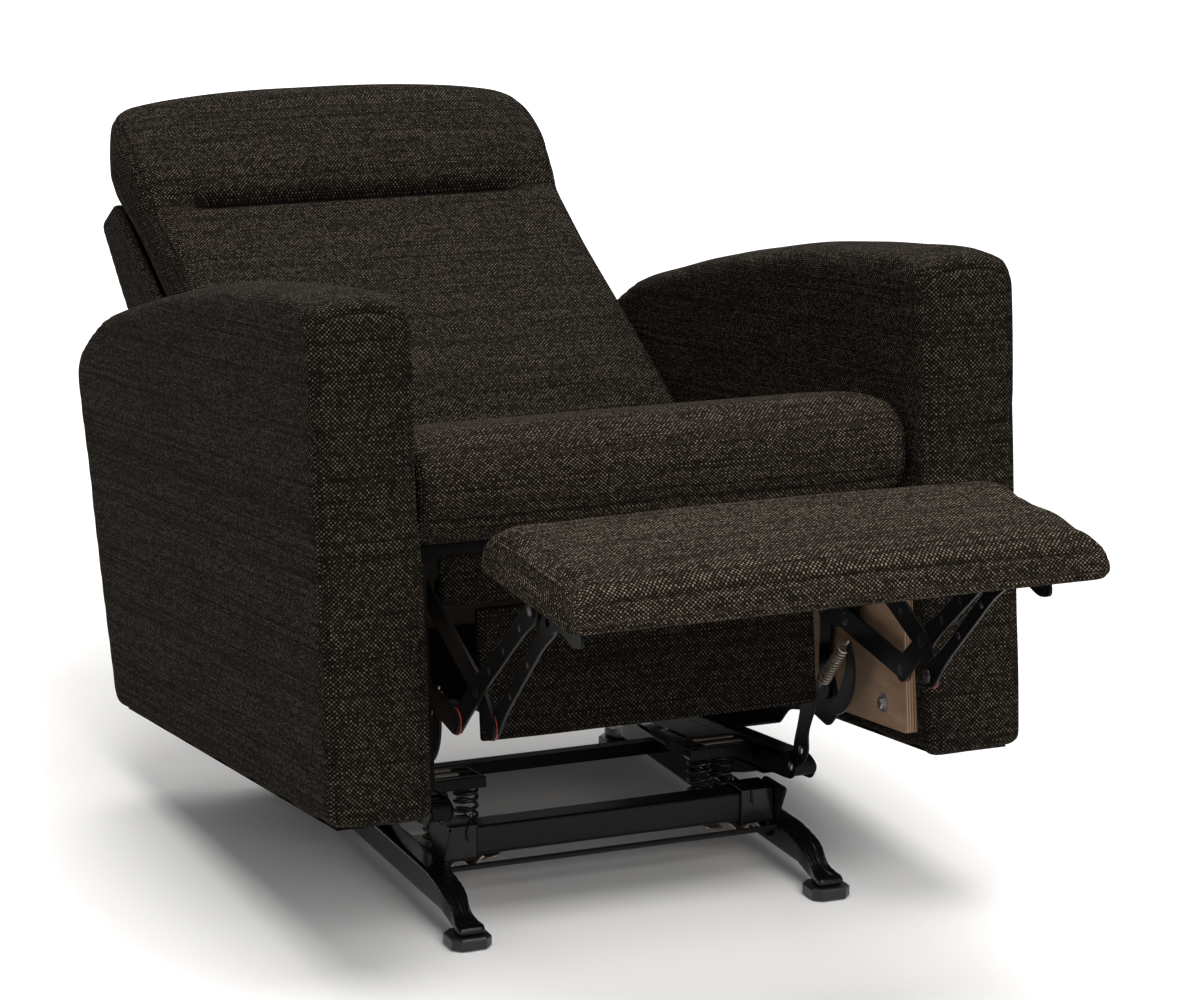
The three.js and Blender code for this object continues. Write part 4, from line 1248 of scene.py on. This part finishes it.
def spring_cap(word, side):
    """An open bracket over the springs: a front bar with a lip, two more bars, a side wall and an end."""
    parts = [block("bar", x, y, z) for x, y, z in (
        ((124, 202.7), (-88, -78), (113, 117)),
        ((124, 202.7), (-90, -88), (104, 117)),
        ((124, 202.7), (-34, -20), (113, 117)),
        ((124, 202.7), (-57, -52), (113, 117)),
        ((199, 202.7), (-90, -20), (95, 117)),
        ((124, 127), (-90, -20), (108, 117)),
    )]
    piece = pressed(f"spring_cap_{word}", parts, side, CHAIR, LINK_STEEL, "chair_frame", 0.8)
    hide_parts(f"upper_spring_bracket_{word}")
    slats = [block("slat", (150, 198), (y, y + 9), (117.2, 119.2), 0.6) for y in (-74, -48)]
    slats = turned_over(joined(f"spring_cap_slats_{word}", slats), side)
    finished(slats, CHAIR, ZINC, "chair_frame", smooth=False)


def spring_seat(word, side):
    """The zinc shelf under the springs, with a wavy bracket in front of it."""
    section = [(124, 51), (126, 47.4), (160, 46), (194, 46), (198.4, 44), (198.4, 32)]
    shelf = ribbon("shelf", section, 3.2, -98, -20)
    edge = ribbon("edge", [(124, 50), (130, 46), (146, 45)], 2.4, -120, -98.2)
    bracket = ribbon("bracket", wave(148, 193, 53.5, 11.0, 1.5), 2.6, -134, -99)
    piece = turned_over(joined(f"spring_seat_{word}", [shelf, edge, bracket]), side)
    finished(piece, FLOOR, ZINC, "base")
    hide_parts(f"lower_spring_bracket_{word}")


def rocker_liner(word, side):
    """The tan runner along the rocker's curved edge, seen beside the rail."""
    centre_y = 42 * math.cos(LEAN) - 60.5 * math.sin(LEAN)
    centre_z = 42 * math.sin(LEAN) + 60.5 * math.cos(LEAN)
    radius, ceiling = 500, 89.5
    arc = [math.asin(y / radius) for y in np.linspace(-100, 128, 30)]
    parts = []
    for low, high, x0, x1 in ((4.6, 12.5, 223.4, 225.0), (14.5, 16.5, 223.4, 224.6)):
        ring = [(centre_y + (radius - r) * math.sin(a),
                 min(centre_z + radius - (radius - r) * math.cos(a), ceiling))
                for r, sweep in ((low, arc), (high, arc[::-1])) for a in sweep]
        parts.append(slab("band", ring, side * x0, side * x1, bent=True))
    finished(joined(f"rocker_liner_{word}", parts), CHAIR, ZINC, "chair_frame", smooth=False)


CLIP_WIRE = (
    (148, -101, 70), (150, -102, 95), (156, -112, 97), (166, -132, 96), (171, -142, 94), (172, -145, 90),
    (172, -145, 78),
)


def clip_wire(word, side):
    """A thin retaining wire bent over the front tube."""
    wire = tube(f"spring_clip_wire_{word}", [(side * x, y, z) for x, y, z in CLIP_WIRE], 0.9, 6)
    finished(wire, FLOOR, SPRING_WIRE, "base")


for word, side in SIDES:
    for build in (base_rail, end_plate, tube_clasp, rocker_side, mechanism_wall, spring_cap, spring_seat,
                  rocker_liner, clip_wire):
        build(word, side)


# ---- Cloth that closes the gaps at the back ----
CREVICE_HALF = 253.5


def crevice_flap():
    """The cloth that closes the gap behind the seat cushion, with a gusset at each end."""
    flap = prism("flap", [
        (146, 472, 1), (151, 476, 1), (199, 433, 4), (207, 411.5, 4), (238, 411.5, 1), (238, 409, 1),
        (204, 409, 4), (195, 430, 4), (147, 469, 1),
    ], -CREVICE_HALF, CREVICE_HALF, 8)
    gusset = [(153.5, 464, 1), (194, 430, 2), (203, 410, 2), (153.5, 410, 1)]
    ends = [prism("end", gusset, *sorted((side * (CREVICE_HALF - 1.5), side * CREVICE_HALF)))
            for _, side in SIDES]
    floor = block("floor", (-CREVICE_HALF, CREVICE_HALF), (151, 203), (409, 411))
    piece = joined("crevice_flap", [flap, *ends, floor])
    weave_on(piece)
    finished(piece, CHAIR, SHADED_TWEED, "seat_frame")
    hem = prism("back_hem_cloth", [(-34, -10, 0.5), (-34, -15, 0.5), (-48, -14, 0.5), (-48, -12, 0.5)],
                -CREVICE_HALF, CREVICE_HALF, 3)
    weave_on(hem, flat_axis=1)
    finished(hem, BACK, SHADED_TWEED, "back")


crevice_flap()

# painted shade: a black cloth sheet across the rear under the back, so that the view through the chair's
# underside stays dark
rear_shade_sheet = block("rear_apron_painted_shade", (-273, 273), (410, 411.4), (118, 200), 0.3)
finished(rear_shade_sheet, CHAIR, DUST_CLOTH_AND_SHADE, "chair_frame", smooth=False)


# ---- Floor, lights and camera ----
def studio():
    bpy.ops.mesh.primitive_plane_add(size=30, location=(0, 0, -0.0005))
    floor = bpy.context.object
    floor.name = "studio_floor"
    look = Look("pale_floor", Roughness=0.85)
    look.colour(rgb(0.86, 0.86, 0.86))
    floor.data.materials.append(look.material)
    world = bpy.data.worlds.new("studio")
    world.use_nodes = True
    sky = world.node_tree.nodes["Background"].inputs
    sky["Color"].default_value, sky["Strength"].default_value = rgb(1, 1, 1), 0.34
    bpy.context.scene.world = world
    for name, at, aim, size, power in (
        ("front", (0.4, -3.6, 2.5), (0, -0.1, 0.35), 2.4, 52),
        ("left", (-3.0, -1.0, 1.7), (0, -0.1, 0.35), 2.0, 6),
        ("top", (0.0, -0.5, 3.6), (0, -0.1, 0.35), 3.0, 150),
        ("far_floor", (1.8, 6.4, 5.0), (1.8, 6.6, 0.0), 5.0, 560),
        ("near_floor", (0.0, -5.4, 3.2), (-0.3, -2.4, 0.0), 2.0, 62),
    ):
        data = bpy.data.lights.new(name, "AREA")
        data.energy, data.size, data.color = power, size, (1, 0.985, 0.97)
        light = bpy.data.objects.new(name, data)
        light.location = at
        light.rotation_euler = (Vector(aim) - Vector(at)).to_track_quat("-Z", "Y").to_euler()
        bpy.context.scene.collection.objects.link(light)


def camera():
    data = bpy.data.cameras.new("camera")
    data.sensor_width, data.lens = 36, 116.17
    data.clip_end = 60
    eye = bpy.data.objects.new("camera", data)
    azimuth, dip, roll = 0.3962, 0.2411, 0.0049
    ahead = Vector((math.sin(azimuth) * math.cos(dip), math.cos(azimuth) * math.cos(dip), -math.sin(dip)))
    turn = ahead.to_track_quat("-Z", "Y").to_matrix().to_4x4()
    eye.matrix_world = Matrix.Translation((-1.5958, -3.9893, 1.4548)) @ turn @ Matrix.Rotation(roll, 4, "Z")
    bpy.context.scene.collection.objects.link(eye)
    bpy.context.scene.camera = eye


studio()
camera()
bpy.context.scene.view_settings.view_transform = "Standard"
